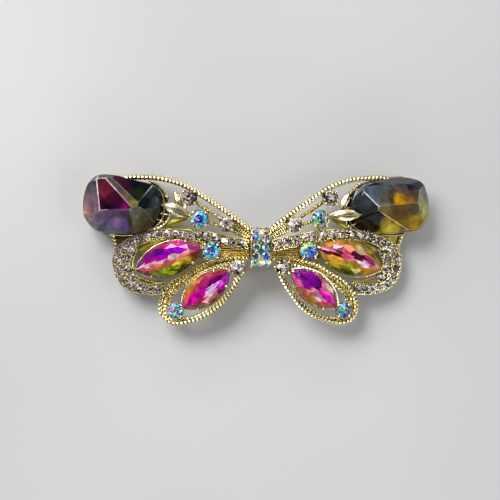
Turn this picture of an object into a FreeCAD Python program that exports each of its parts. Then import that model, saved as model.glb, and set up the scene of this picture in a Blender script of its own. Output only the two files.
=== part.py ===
import FreeCAD, Part
import math
import os
import Sketcher
from FreeCAD import Placement, Rotation, Vector

# Butterfly brooch, lying on its back: +X across the wings, +Y towards the tips of the
# forewings, +Z out of its front. Each wing is drawn flat, as (out, up) points counted
# from the middle of the body in millimetres, and is then bent back about the body.

doc = FreeCAD.newDocument("Brooch")
UP = Vector(0, 0, 1)
SIDES = {"left": -1, "right": 1}

# ---------------------------------------------------------------- driving dimensions

DIMENSIONS = {
    # how the wings stand
    "wing_bend": 10.0,
    "wing_root_height": 7.3,
    # cast frame of a wing
    "web_height": 0.6,
    "edge_wire_width": 0.95,
    "edge_wire_height": 1.3,
    "inner_wire_width": 0.75,
    "inner_wire_height": 1.1,
    "border_wire_width": 0.55,
    "hindwing_height": 1.0,
    "hindwing_border_height": 1.35,
    "hindwing_ledge_width": 1.4,
    "shoulder_height": 1.1,
    # loop set with small stones
    "channel_width": 2.4,
    "channel_height": 1.7,
    "pave_pitch": 2.1,
    "pave_diameter": 1.9,
    "small_stone_crown": 0.4,
    "small_stone_depth": 0.75,
    "small_stone_girdle": 0.1,
    "small_stone_culet": 0.15,
    # round stones in claw cups
    "cup_wall": 0.3,
    "cup_height": 1.5,
    "claw_diameter": 0.5,
    "claw_height": 2.0,
    "crown_height": 0.55,
    "cup_floor": 0.35,
    "girdle_sink": 0.1,
    "girdle_thickness": 0.15,
    "culet_radius": 0.2,
    # marquise stones
    "upper_navette_length": 15.0,
    "upper_navette_width": 7.2,
    "lower_navette_length": 12.5,
    "lower_navette_width": 6.3,
    "navette_wall": 0.35,
    "navette_tip_wall": 0.56,
    "navette_girdle_thickness": 0.2,
    "navette_cup_height": 2.2,
    "navette_crown": 1.5,
    "navette_depth": 1.4,
    # big faceted nuggets
    "tray_wall": 0.5,
    "tray_floor": 0.6,
    "tray_drop": 0.8,
    "tray_rim": 1.0,
    "nugget_height": 8.8,
    # leaves
    "leaf_height": 0.8,
    # body
    "body_length": 8.1,
    "body_width": 4.5,
    "body_foot": 0.5,
    "body_rise": 3.7,
    "body_end_rise": 2.1,
    "body_stone_diameter": 1.75,
    "body_stone_spacing": 2.1,
    "body_stone_sink": 0.05,
    "body_offset": 0.6,
    # pin and catch on the back
    "bar_length": 26.0,
    "bar_width": 3.6,
    "bar_thickness": 0.7,
    "pin_height": 1.6,
    "pin_diameter": 0.8,
    "pin_point_length": 4.5,
    "pin_tip_radius": 0.08,
    "pin_overhang": 0.2,
    "hinge_offset": 11.3,
    "eye_diameter": 1.9,
    "eye_width": 0.9,
    "ear_width": 0.6,
    "ear_gap": 1.0,
    "ear_length": 1.8,
    "rivet_diameter": 0.8,
    "rivet_head_diameter": 1.4,
    "rivet_head_height": 0.25,
    "rivet_clearance": 0.04,
    "catch_offset": 12.6,
    "catch_length": 3.4,
    "catch_diameter": 3.2,
    "catch_bore": 2.5,
    "catch_slot": 1.1,
    "catch_neck_width": 1.4,
    "rotor_diameter": 2.4,
    "rotor_bore": 1.2,
    "flange_diameter": 2.9,
    "flange_width": 0.4,
    "flange_gap": 0.06,
    "thumb_tab_length": 2.4,
    "thumb_tab_width": 0.9,
}

sheet = doc.addObject("Spreadsheet::Sheet", "Sizes")
for row, (alias, number) in enumerate(DIMENSIONS.items(), start=1):
    sheet.set(f"A{row}", alias)
    sheet.set(f"B{row}", str(number))
    sheet.setAlias(f"B{row}", alias)
doc.recompute()


def size(alias):
    """Read one driving dimension back from the sheet."""
    return float(sheet.get(alias))


def bind(thing, **formulas):
    """Tie properties of an object to formulas of the sheet's dimensions."""
    for name, formula in formulas.items():
        words = formula.split(" ")
        text = " ".join("Sizes." + word if word in DIMENSIONS else word for word in words)
        thing.setExpression(name.replace("__", "."), text)
    return thing


# ---------------------------------------------------------------- outlines of a wing

FOREWING_EDGE = [(2.0, 4.2), (8.4, 8.9), (14.7, 13.0), (19.6, 14.8), (24.6, 15.3)]
OUTER_CORNER = [(31.8, 4.2), (30.9, 2.2), (30.2, -0.2)]
WIRE_TO_OUTER_STONE = [(14.8, 11.0), (10.5, 8.05), (6.9, 5.7)]
WIRE_TO_MIDDLE_STONE = [(12.6, 6.5), (10.0, 5.6), (7.4, 4.9)]
POST_TO_LOOP = [(12.6, 6.5), (12.8, 4.8), (12.5, 3.0)]
ROOT_PLATE = [(1.9, 1.0), (1.9, 4.3), (6.0, 7.2), (8.2, 5.0), (5.6, 3.6), (6.0, 1.6)]
CORNER_PLATE = [(25.0, 5.0), (31.8, 4.4), (30.4, 0.4), (26.5, 2.2)]

LOOP_MIDDLE = [
    (2.4, 0.9), (6.3, 1.7), (10.5, 2.6), (14.7, 3.15), (18.9, 3.25),
    (23.4, 2.85), (27.3, 1.3), (29.6, -1.0), (29.6, -3.9),
    (28.4, -6.4), (25.6, -7.9), (22.8, -8.3), (20.4, -8.0),
]
LOOP_BORDER = [
    (15.6, 2.4), (21.0, 1.6), (25.6, -0.2), (27.2, -3.4), (25.8, -5.9), (22.6, -6.9), (19.9, -7.9),
]
LOOP_INNER_ROW = [(27.0, -0.1), (27.9, -3.0), (26.6, -5.9)]
# How far from its end each row's first stone lies.
LOOP_ROW_START = 1.2
LOOP_INNER_ROW_START = 0.35

SHOULDER_PLATE = [(1.9, -1.6), (1.9, 0.8), (8.0, 0.9), (8.0, -1.4)]
SHOULDER_SEAT = [(7.0, -1.6), (7.0, 1.2), (12.2, 1.2), (12.2, -1.6)]

HINDWING_OUTER = [
    (3.0, -2.1), (4.3, -5.7), (8.4, -11.6), (12.6, -14.3), (16.8, -15.95), (20.6, -14.3),
    (21.0, -10.5), (19.4, -7.7), (15.8, -5.2), (11.8, -2.9), (8.2, -1.9), (5.6, -1.7), (3.0, -2.1),
]
HINDWING_INNER = [
    (4.6, -4.6), (7.6, -9.7), (11.8, -12.9), (15.8, -14.3), (18.6, -13.7),
    (19.3, -11.2), (17.7, -8.2), (14.3, -5.7), (10.6, -3.5), (7.6, -2.8), (4.6, -4.6),
]

ROUND_STONES = {
    "aurora_upper": (12.6, 6.5, 3.6),
    "aurora_middle": (10.1, -0.25, 3.6),
    "aurora_lower": (17.7, -12.7, 3.2),
    "clear_outer": (14.8, 11.0, 3.2),
    "clear_inner": (6.9, 5.4, 3.0),
    "clear_lower": (4.5, -3.6, 3.0),
}

NAVETTES = {"upper": (19.0, -1.8, -18.2), "lower": (11.15, -8.25, -38.4)}

# How far round the arch of the body each pair of its stones lies, in degrees.
BODY_STONE_TURNS = (-35.5, -17.8, 0.0, 17.8, 35.5)

# How wide the table is as a share of its stone.
ROUND_TABLE = 0.58
SMALL_TABLE = 0.6

# The culet and the table of a marquise stone, as (how much shorter, share of its width).
NAVETTE_CULET = (5.0, 0.35)
NAVETTE_TABLE = (4.4, 0.56)

LEAF_STEM = [(13.4, 6.8), (14.6, 7.1), (15.8, 7.3)]
LEAVES = [
    ((14.6, 7.2), (18.3, 12.0), 2.0),
    ((15.4, 7.3), (20.1, 8.6), 1.7),
    ((14.8, 7.0), (19.6, 4.7), 1.6),
]

# Each nugget is a convex stone: an outline, and facets that each face a compass
# direction, lean from the vertical by an angle, and lie so far from its heart.
NUGGET_CENTRES = {"left": (28.9, 9.7), "right": (28.3, 9.6)}
NUGGET_HEART_LEVEL = 2.5
NUGGET_OUTLINES = {
    "left": [
        (20.8, 12.2), (21.8, 13.7), (26.2, 14.6), (30.0, 15.7), (33.9, 15.8), (36.2, 13.0),
        (37.0, 8.9), (36.2, 5.6), (32.8, 3.3), (26.3, 3.4), (23.2, 4.2), (21.4, 6.2), (20.5, 9.0),
    ],
    "right": [
        (19.4, 11.4), (21.2, 13.8), (26.6, 15.1), (31.0, 15.7), (34.4, 14.4), (36.3, 10.6),
        (36.3, 7.6), (34.8, 4.2), (29.2, 3.6), (22.6, 3.9), (19.8, 5.6), (18.9, 9.0),
    ],
}
NUGGET_FACETS = {
    "left": [
        (150, 3, 5.35), (49, 25, 5.56), (48, 42, 5.5), (9, 53, 6.2), (347, 56, 6.57),
        (311, 47, 5.78), (268, 38, 5.1), (184, 36, 6.5), (226, 50, 6.9), (90, 66, 6.9),
        (0, 68, 8.0), (180, 72, 8.6), (270, 66, 6.0), (135, 62, 8.3),
    ],
    "right": [
        (100, 5, 5.3), (275, 25, 4.82), (254, 50, 5.12), (221, 40, 6.55), (185, 45, 9.0),
        (0, 45, 6.6), (60, 42, 7.0), (100, 45, 6.8), (180, 68, 9.2), (90, 66, 5.9),
        (0, 68, 8.0), (270, 66, 6.0), (315, 60, 7.6),
    ],
}
# The side of the block that takes the glass off outside a facet.
FACET_BLOCK = 60.0


# ---------------------------------------------------------------- ways to make shapes

def new(kind, name, **formulas):
    return bind(doc.addObject(kind, name), **formulas)


def place(thing, x, y, z=0.0, angle=0.0):
    thing.Placement = Placement(Vector(x, y, z), Rotation(UP, angle))
    return thing


def arc_path(name, side, points):
    """A run of arcs, each through three points, the last of one the first of the next."""
    sketch = doc.addObject("Sketcher::SketchObject", name)
    corners = [Vector(side * out, up, 0) for out, up in points]
    for start, middle, end in zip(corners[0::2], corners[1::2], corners[2::2]):
        sketch.addGeometry(Part.Arc(start, middle, end), False)
    return sketch


def polygon(name, side, points):
    sketch = doc.addObject("Sketcher::SketchObject", name)
    corners = [Vector(side * out, up, 0) for out, up in points]
    for start, end in zip(corners, corners[1:] + corners[:1]):
        sketch.addGeometry(Part.LineSegment(start, end), False)
    return sketch


def raise_up(name, base, height):
    """A solid of the given height on a flat base."""
    solid = new("Part::Extrusion", name, LengthFwd=height)
    solid.Base = base
    solid.DirMode = "Custom"
    solid.Dir = UP
    solid.Solid = True
    return solid


def band(name, path, width, height):
    """A strip of even width with round ends along a path."""
    strip = new("Part::Offset2D", name + "_strip", Value=width + " / 2")
    strip.Source = path
    strip.Mode = "Pipe"
    strip.Fill = True
    return raise_up(name, strip, height)


def rim(name, path, width, height):
    """A strip of even width along the inside or outside of a closed path."""
    strip = new("Part::Offset2D", name + "_strip", Value=width)
    strip.Source = path
    strip.Mode = "Pipe"
    strip.Fill = True
    return raise_up(name, strip, height)


def fuse(name, pieces):
    joined = doc.addObject("Part::MultiFuse", name)
    joined.Shapes = pieces
    return joined


def cut(name, base, tools):
    """Take one or more tools away from a base."""
    result = doc.addObject("Part::Cut", name)
    result.Base = base
    result.Tool = tools[0] if len(tools) == 1 else fuse(name + "_tools", tools)
    return result


def copy_of(thing):
    """A node of its own that follows a form which others are also cut with."""
    link = doc.addObject("Part::Refine", thing.Name + "_node")
    link.Source = thing
    return link


NODES = []


def finish_node(label, thing):
    """Name a finished piece of the body or the back."""
    thing.Label = label
    NODES.append(thing)
    return thing


def finish_wing_node(label, thing, side):
    """Name a finished piece of a wing and bend it back with its wing."""
    thing.Placement = Placement(Vector(0, 0, 0), Rotation(Vector(0, side, 0), 1))
    bind(thing, Placement__Base__z="wing_root_height", Placement__Rotation__Angle="wing_bend")
    return finish_node(label, thing)


# ---------------------------------------------------------------- stones and cups

def round_stone(name, out, up, diameter):
    """A brilliant: a cone below the girdle, a short girdle and a flat-topped crown."""
    radius = f"{diameter / 2}"
    girdle_foot = size("web_height") + size("cup_height") - size("girdle_sink")
    pavilion = new("Part::Cone", name + "_pavilion", Radius1="culet_radius", Radius2=radius,
                   Height="cup_height - cup_floor - girdle_sink")
    place(pavilion, out, up, size("web_height") + size("cup_floor"))
    girdle = new("Part::Cylinder", name + "_girdle", Radius=radius, Height="girdle_thickness")
    place(girdle, out, up, girdle_foot)
    crown = new("Part::Cone", name + "_crown", Radius1=radius, Radius2=f"{radius} * {ROUND_TABLE}",
                Height="crown_height")
    place(crown, out, up, girdle_foot + size("girdle_thickness"))
    return fuse(name, [pavilion, girdle, crown])


def cup_block(name, out, up, diameter):
    """The outside of a cup for a round stone."""
    block = new("Part::Cylinder", name, Radius=f"{diameter / 2} + cup_wall", Height="cup_height")
    return place(block, out, up, size("web_height"))


def claws(name, out, up, diameter):
    """Four claws that stand against the girdle of a round stone."""
    reach = diameter / 2 + size("cup_wall") / 2
    posts = []
    for number in range(4):
        turn = math.radians(45 + 90 * number)
        post = new("Part::Cylinder", f"{name}_{number}", Radius="claw_diameter / 2", Height="claw_height")
        x, y = out + reach * math.cos(turn), up + reach * math.sin(turn)
        posts.append(place(post, x, y, size("web_height")))
    return posts


def lens(name, side, which, length, width, level):
    """A pointed oval of two arcs, at a level of the marquise stone."""
    out, up, slope = NAVETTES[which]
    sketch = doc.addObject("Sketcher::SketchObject", name)
    left, right = Vector(-length / 2, 0, 0), Vector(length / 2, 0, 0)
    sketch.addGeometry(Part.Arc(left, Vector(0, width / 2, 0), right), False)
    sketch.addGeometry(Part.Arc(right, Vector(0, -width / 2, 0), left), False)
    return place(sketch, side * out, up, level, side * slope)


def navette_stone(name, side, which):
    """A marquise stone, lofted through its culet, girdle and table."""
    length, width = size(which + "_navette_length"), size(which + "_navette_width")
    girdle = size("web_height") + size("navette_cup_height")
    half_girdle = size("navette_girdle_thickness") / 2
    (culet_setback, culet_share), (table_setback, table_share) = NAVETTE_CULET, NAVETTE_TABLE
    levels = [
        ("culet", length - culet_setback, width * culet_share, girdle - size("navette_depth")),
        ("girdle", length, width, girdle - half_girdle),
        ("edge", length, width, girdle + half_girdle),
        ("table", length - table_setback, width * table_share, girdle + size("navette_crown")),
    ]
    stone = doc.addObject("Part::Loft", name)
    stone.Sections = [lens(f"{name}_{tag}", side, which, *level) for tag, *level in levels]
    stone.Solid = True
    stone.Ruled = True
    return stone


def navette_block(name, side, which):
    """The outside of the cup for a marquise stone, with thicker walls at its points."""
    length = size(which + "_navette_length") + 2 * size("navette_tip_wall")
    width = size(which + "_navette_width") + 2 * size("navette_wall")
    outline = lens(name + "_outline", side, which, length, width, size("web_height"))
    return raise_up(name, outline, "navette_cup_height")


def small_stone(diameter):
    """A small round stone about its own girdle centre, ready to be copied along a row."""
    radius, culet = diameter / 2, size("small_stone_culet")
    crown, depth = size("small_stone_crown"), size("small_stone_depth")
    half_girdle = size("small_stone_girdle") / 2
    profile = [
        Vector(0, 0, -depth), Vector(culet, 0, -depth),
        Vector(radius, 0, -half_girdle), Vector(radius, 0, half_girdle),
        Vector(radius * SMALL_TABLE, 0, crown), Vector(0, 0, crown), Vector(0, 0, -depth),
    ]
    return Part.Face(Part.makePolygon(profile)).revolve(Vector(0, 0, 0), UP, 360)


# ---------------------------------------------------------------- pieces of one wing

def point_along(arcs, distance):
    """The place that lies a distance along a run of arcs."""
    for arc in arcs[:-1]:
        if distance <= arc.Length:
            return arc.valueAt(arc.getParameterByLength(distance))
        distance -= arc.Length
    return arcs[-1].valueAt(arcs[-1].getParameterByLength(distance))


def loop_points(side):
    """Where the small stones of the loop lie: the long row, then the short inner row."""
    places = []
    for points, start in ((LOOP_MIDDLE, LOOP_ROW_START), (LOOP_INNER_ROW, LOOP_INNER_ROW_START)):
        corners = [Vector(side * out, up, 0) for out, up in points]
        arcs = [Part.Arc(*corners[i:i + 3]).toShape() for i in range(0, len(corners) - 2, 2)]
        room = sum(arc.Length for arc in arcs) - 2 * start
        gaps = int(room // size("pave_pitch"))
        places += [point_along(arcs, start + room * number / gaps) for number in range(gaps + 1)]
    return places


def pave_stones(name, side):
    """The small stones of the loop, each a solid of its own, sunk to the girdle."""
    level = Vector(0, 0, size("channel_height"))
    stone = small_stone(size("pave_diameter"))
    group = doc.addObject("Part::Feature", name)
    group.Shape = Part.makeCompound([stone.translated(point + level) for point in loop_points(side)])
    return group


def nugget_shape(which, side):
    """The whole stone: its outline made solid, then every facet cut off it."""
    out, up = NUGGET_CENTRES[which]
    heart = Vector(side * out, up, NUGGET_HEART_LEVEL)
    floor = size("tray_floor") - size("tray_drop")
    corners = [Vector(side * out, up, floor) for out, up in NUGGET_OUTLINES[which]]
    stone = Part.Face(Part.makePolygon(corners + corners[:1])).extrude(UP * size("nugget_height"))
    for compass, lean, reach in NUGGET_FACETS[which]:
        heading = math.radians(compass)
        across = Vector(math.cos(heading), math.sin(heading), 0)
        normal = across * math.sin(math.radians(lean)) + UP * math.cos(math.radians(lean))
        corner = Vector(-FACET_BLOCK / 2, -FACET_BLOCK / 2, 0)
        outside = Part.makeBox(FACET_BLOCK, FACET_BLOCK, FACET_BLOCK / 2, corner)
        outside.Placement = Placement(heart + normal * reach, Rotation(UP, normal))
        stone = stone.cut(outside)
    return stone


def tray_outline(which, side, margin):
    """The nugget's outline grown by a margin, away from its centre."""
    middle = Vector(*NUGGET_CENTRES[which], 0)
    grown = []
    for out, up in NUGGET_OUTLINES[which]:
        arm = Vector(out, up, 0) - middle
        corner = middle + arm * (1 + margin / arm.Length)
        grown.append((corner.x, corner.y))
    return polygon(f"{which}_tray_outline", side, grown)


def leaf(name, side, stem, tip, width):
    """A pointed leaf of two arcs from its stem to its tip."""
    start, end = Vector(side * stem[0], stem[1], 0), Vector(side * tip[0], tip[1], 0)
    across = (end - start).cross(UP).normalize() * (width / 2)
    middle = (start + end) * 0.5
    sketch = doc.addObject("Sketcher::SketchObject", name + "_outline")
    sketch.addGeometry(Part.Arc(start, middle + across, end), False)
    sketch.addGeometry(Part.Arc(end, middle - across, start), False)
    bind(sketch, Placement__Base__z="inner_wire_height")
    return raise_up(name, sketch, "leaf_height")


def build_wing(which, side):
    def name(text):
        return f"{which}_{text}"

    def wing_band(text, points, width, height):
        return band(name(text), arc_path(name(text + "_path"), side, points), width, height)

    def wing_plate(text, points, height):
        return raise_up(name(text), polygon(name(text + "_outline"), side, points), height)

    # round stones and their cups
    small_stones = pave_stones(name("pave_form"), side)
    blocks = []
    stones = []
    for stone_name, (out, up, diameter) in ROUND_STONES.items():
        colour, position = stone_name.split("_")
        centre = (side * out, up, diameter)
        stone = round_stone(name(f"{colour}_form_{position}"), *centre)
        block = cup_block(name(stone_name + "_block"), *centre)
        posts = claws(name(stone_name + "_claw"), *centre)
        cup = cut(name(f"{colour}_cup_{position}"), fuse(name(stone_name + "_set"), [block] + posts),
                  [stone, small_stones])
        blocks += [block] + posts
        stones.append(stone)
        finish_wing_node(cup.Label, cup, side)
        finish_wing_node(name(f"{colour}_stone_{position}"), copy_of(stone), side)

    # marquise stones and their cups
    round_cups = blocks + stones
    for position in NAVETTES:
        stone = navette_stone(name(f"{position}_navette_form"), side, position)
        block = navette_block(name(f"{position}_navette_block"), side, position)
        cup = cut(name(f"{position}_navette_cup"), block, [stone, small_stones] + round_cups)
        blocks = blocks + [block]
        finish_wing_node(cup.Label, cup, side)
        finish_wing_node(name(f"{position}_navette"), copy_of(stone), side)

    # nugget in its tray
    nugget = doc.addObject("Part::Feature", name("nugget_form"))
    nugget.Shape = nugget_shape(which, side)
    outline = tray_outline(which, side, size("tray_wall"))
    bind(outline, Placement__Base__z="0 - tray_drop")
    tray_block = raise_up(name("tray_block"), outline, "tray_drop + tray_rim")
    tray = cut(name("nugget_tray"), tray_block, [nugget])
    finish_wing_node(tray.Label, tray, side)
    finish_wing_node(name("nugget"), copy_of(nugget), side)

    # loop with its small stones
    loop = fuse(name("loop_form"), [
        wing_band("loop_row", LOOP_MIDDLE, "channel_width", "channel_height"),
        wing_band("loop_inner_row", LOOP_INNER_ROW, "channel_width", "channel_height"),
        wing_band("loop_border", LOOP_BORDER, "inner_wire_width", "inner_wire_height"),
    ])
    channel = cut(name("pave_channel"), loop, [small_stones, tray_block, nugget] + blocks)
    finish_wing_node(channel.Label, channel, side)
    finish_wing_node(name("pave_stones"), copy_of(small_stones), side)

    # plate with grooves between the body and the middle stone
    shoulder = fuse(name("shoulder_form"), [
        wing_plate("shoulder_grooved", SHOULDER_PLATE, "shoulder_height"),
        wing_plate("shoulder_seat", SHOULDER_SEAT, "web_height"),
    ])
    shoulder_node = cut(name("shoulder_plate"), shoulder, [loop, small_stones] + blocks)
    finish_wing_node(shoulder_node.Label, shoulder_node, side)

    # frame of the forewing
    frame = fuse(name("forewing_form"), [
        wing_band("forewing_edge", FOREWING_EDGE, "edge_wire_width", "edge_wire_height"),
        wing_band("wire_outer", WIRE_TO_OUTER_STONE, "inner_wire_width", "inner_wire_height"),
        wing_band("wire_middle", WIRE_TO_MIDDLE_STONE, "inner_wire_width", "inner_wire_height"),
        wing_band("post", POST_TO_LOOP, "inner_wire_width", "inner_wire_height"),
        wing_plate("root_plate", ROOT_PLATE, "web_height"),
    ])
    frame_node = cut(name("forewing_frame"), frame, [loop, shoulder, tray_block, nugget] + blocks)
    finish_wing_node(frame_node.Label, frame_node, side)

    # corner that carries the nugget's outer end
    corner = fuse(name("corner_form"), [
        wing_band("corner_edge", OUTER_CORNER, "edge_wire_width", "edge_wire_height"),
        wing_plate("corner_plate", CORNER_PLATE, "web_height"),
    ])
    corner_node = cut(name("corner_bracket"), corner, [loop, small_stones, tray_block, nugget])
    finish_wing_node(corner_node.Label, corner_node, side)

    # frame of the hindwing: a flat ring with a raised wire along both edges
    outer_path = arc_path(name("hindwing_outer_path"), side, HINDWING_OUTER)
    inner_path = arc_path(name("hindwing_inner_path"), side, HINDWING_INNER)
    ring = cut(name("hindwing_ring"), raise_up(name("hindwing_disc"), outer_path, "hindwing_height"),
               [raise_up(name("hindwing_hole"), inner_path, "hindwing_height")])
    hindwing = fuse(name("hindwing_form"), [
        ring,
        rim(name("hindwing_outer_wire"), outer_path, "0 - border_wire_width", "hindwing_border_height"),
        rim(name("hindwing_inner_wire"), inner_path, "border_wire_width", "hindwing_border_height"),
        rim(name("hindwing_ledge"), inner_path, "0 - hindwing_ledge_width", "web_height"),
    ])
    hindwing_node = cut(name("hindwing_frame"), hindwing, [loop, shoulder] + blocks)
    finish_wing_node(hindwing_node.Label, hindwing_node, side)

    # leaves
    leaves = [leaf(name(f"leaf_{number}"), side, *shape) for number, shape in enumerate(LEAVES)]
    stem = arc_path(name("leaf_stem_path"), side, LEAF_STEM)
    bind(stem, Placement__Base__z="inner_wire_height")
    leaves.append(band(name("leaf_stem"), stem, "inner_wire_width", "leaf_height"))
    spray = cut(name("leaf_spray"), fuse(name("leaf_form"), leaves), [tray_block, nugget] + blocks)
    finish_wing_node(spray.Label, spray, side)


# ---------------------------------------------------------------- body of the butterfly

def origin_plane(body, role):
    return next(part for part in body.Origin.OriginFeatures if part.Role == role)


def new_sketch(body, name, role):
    sketch = body.newObject("Sketcher::SketchObject", name)
    sketch.AttachmentSupport = [(origin_plane(body, role), "")]
    sketch.MapMode = "FlatFace"
    return sketch


def draw_rectangle(sketch, across, along):
    """A rectangle about the sketch's own origin."""
    corners = [Vector(-1, -1, 0), Vector(1, -1, 0), Vector(1, 1, 0), Vector(-1, 1, 0)]
    for start, end in zip(corners, corners[1:] + corners[:1]):
        sketch.addGeometry(Part.LineSegment(start, end), False)
    for edge in range(4):
        sketch.addConstraint(Sketcher.Constraint("Coincident", edge, 2, (edge + 1) % 4, 1))
        sketch.addConstraint(Sketcher.Constraint("Vertical" if edge % 2 else "Horizontal", edge))
    sketch.addConstraint(Sketcher.Constraint("Symmetric", 0, 1, 2, 1, -1, 1))
    width = sketch.addConstraint(Sketcher.Constraint("DistanceX", 0, 1, 0, 2, 2.0))
    height = sketch.addConstraint(Sketcher.Constraint("DistanceY", 1, 1, 1, 2, 2.0))
    bind(sketch, **{f"Constraints[{width}]": across, f"Constraints[{height}]": along})


def build_body():
    """A barrel arched along its length, set with two rows of small stones."""
    length, rise, end_rise = size("body_length"), size("body_rise"), size("body_end_rise")
    sagitta = rise - end_rise
    arch = (length ** 2 / 4 + sagitta ** 2) / (2 * sagitta)

    barrel = doc.addObject("PartDesign::Body", "body_barrel_solid")
    side_view = new_sketch(barrel, "body_side_view", "YZ_Plane")
    foot, back = Vector(-length / 2, 0, 0), Vector(length / 2, 0, 0)
    shoulders = [Vector(-length / 2, end_rise, 0), Vector(length / 2, end_rise, 0)]
    side_view.addGeometry(Part.LineSegment(foot, back), False)
    side_view.addGeometry(Part.LineSegment(back, shoulders[1]), False)
    side_view.addGeometry(Part.Arc(shoulders[1], Vector(0, rise, 0), shoulders[0]), False)
    side_view.addGeometry(Part.LineSegment(shoulders[0], foot), False)
    pad = barrel.newObject("PartDesign::Pad", "body_pad")
    pad.Profile = side_view
    pad.Midplane = True
    bind(pad, Length="body_width")
    doc.recompute()

    stone = small_stone(size("body_stone_diameter"))
    stone.translate(UP * (arch - size("body_stone_sink")))
    places = []
    for turn in BODY_STONE_TURNS:
        for column in (-1, 1):
            seated = stone.copy()
            seated.rotate(Vector(0, 0, 0), Vector(1, 0, 0), turn)
            seated.translate(Vector(column * size("body_stone_spacing") / 2, 0, rise - arch))
            places.append(seated)
    stones = doc.addObject("Part::Feature", "body_stones_form")
    stones.Shape = Part.makeCompound(places)
    for thing in (barrel, stones):
        bind(thing, Placement__Base__y="body_offset", Placement__Base__z="wing_root_height - body_foot")
    roots = [node for node in NODES if node.Label.endswith(("frame", "shoulder_plate", "channel"))]
    finish_node("body_barrel", cut("body_barrel", barrel, [stones] + roots))
    finish_node("body_stones", copy_of(stones))


# ---------------------------------------------------------------- pin and catch on the back

def tube_along_x(name, radius, length, x_centre):
    """A cylinder along X about the line of the pin."""
    tube = new("Part::Cylinder", name, Radius=radius, Height=length)
    tube.Placement.Rotation = Rotation(Vector(0, 1, 0), 90)
    return bind(tube, Placement__Base__x=f"{x_centre} - ( {length} ) / 2", Placement__Base__z="pin_height")


def tube_along_y(name, radius, length, x_centre):
    """A cylinder along Y about the line of the hinge."""
    tube = new("Part::Cylinder", name, Radius=radius, Height=length)
    tube.Placement.Rotation = Rotation(Vector(1, 0, 0), -90)
    return bind(tube, Placement__Base__x=x_centre, Placement__Base__y=f"0 - ( {length} ) / 2",
                Placement__Base__z="pin_height")


def block(name, length, width, height, x_start, y_start, z_start):
    box = new("Part::Box", name, Length=length, Width=width, Height=height)
    return bind(box, Placement__Base__x=x_start, Placement__Base__y=y_start, Placement__Base__z=z_start)


BAR_TOP = "wing_root_height - bar_length / 2 * tan( wing_bend * 1 deg )"
BAR_BOTTOM = BAR_TOP + " - bar_thickness"


def build_bar():
    """A flat bar across the back, with two ears at its right end for the hinge."""
    bar = doc.addObject("PartDesign::Body", "pin_bar_strip")
    outline = new_sketch(bar, "bar_outline", "XY_Plane")
    draw_rectangle(outline, "bar_length", "bar_width")
    pad = bar.newObject("PartDesign::Pad", "bar_pad")
    pad.Profile = outline
    bind(pad, Length="bar_thickness")
    bind(bar, Placement__Base__z=BAR_BOTTOM)

    ears = []
    for name, y_start in (("front_ear", "0 - ear_gap / 2 - ear_width"), ("rear_ear", "ear_gap / 2")):
        ears.append(block(name, "ear_length", "ear_width", BAR_BOTTOM + " - pin_height",
                          "hinge_offset - ear_length / 2", y_start, "pin_height"))
    span = "ear_gap + 2 * ear_width"
    knuckle = cut("ear_rounds", tube_along_y("ear_round", "ear_length / 2", span, "hinge_offset"),
                  [tube_gap("ear_round_gap")])
    bore = tube_along_y("ear_bore", "rivet_diameter / 2", span + " + ear_width", "hinge_offset")
    finish_node("pin_bar", cut("pin_bar", fuse("pin_bar_form", [bar, knuckle] + ears), [bore]))


def tube_gap(name):
    """The gap between the ears, as a solid."""
    return block(name, "2 * ear_length", "ear_gap", "2 * ear_length",
                 "hinge_offset - ear_length", "0 - ear_gap / 2", "pin_height - ear_length")


def build_rivet():
    """A headed rivet through both ears."""
    span = "ear_gap + 2 * ear_width"
    shaft = tube_along_y("rivet_shaft", "rivet_diameter / 2", span, "hinge_offset")
    heads = []
    for name, start in (("rivet_head", "ear_gap / 2 + ear_width"),
                        ("rivet_tail", "0 - ear_gap / 2 - ear_width - rivet_head_height")):
        head = tube_along_y(name, "rivet_head_diameter / 2", "rivet_head_height", "hinge_offset")
        heads.append(bind(head, Placement__Base__y=start))
    finish_node("hinge_rivet", fuse("hinge_rivet", [shaft] + heads))


def build_pin():
    """A steel pin with an eye that turns on the rivet and a tapered point."""
    eye = tube_along_y("pin_eye", "eye_diameter / 2", "eye_width", "hinge_offset")
    reach = "hinge_offset + catch_offset + catch_length / 2 + pin_overhang"
    shank = new("Part::Cylinder", "pin_shank", Radius="pin_diameter / 2",
                Height=reach + " - pin_point_length")
    point = new("Part::Cone", "pin_point", Radius1="pin_diameter / 2", Radius2="pin_tip_radius",
                Height="pin_point_length")
    point_start = "hinge_offset - ( " + reach + " ) + pin_point_length"
    for thing, start in ((shank, "hinge_offset"), (point, point_start)):
        thing.Placement.Rotation = Rotation(Vector(0, 1, 0), -90)
        bind(thing, Placement__Base__x=start, Placement__Base__z="pin_height")
    bore = tube_along_y("pin_eye_bore", "rivet_diameter / 2 + rivet_clearance", "2 * eye_width",
                        "hinge_offset")
    finish_node("pin_stem", cut("pin_stem", fuse("pin_stem_form", [eye, shank, point]), [bore]))


def slot(name, width):
    """The way in for the pin, from the line of the pin down past the catch."""
    start = "0 - catch_offset - catch_length"
    return block(name, "catch_length * 2", width, "catch_diameter", start,
                 f"0 - {width} / 2", "pin_height - catch_diameter")


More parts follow.
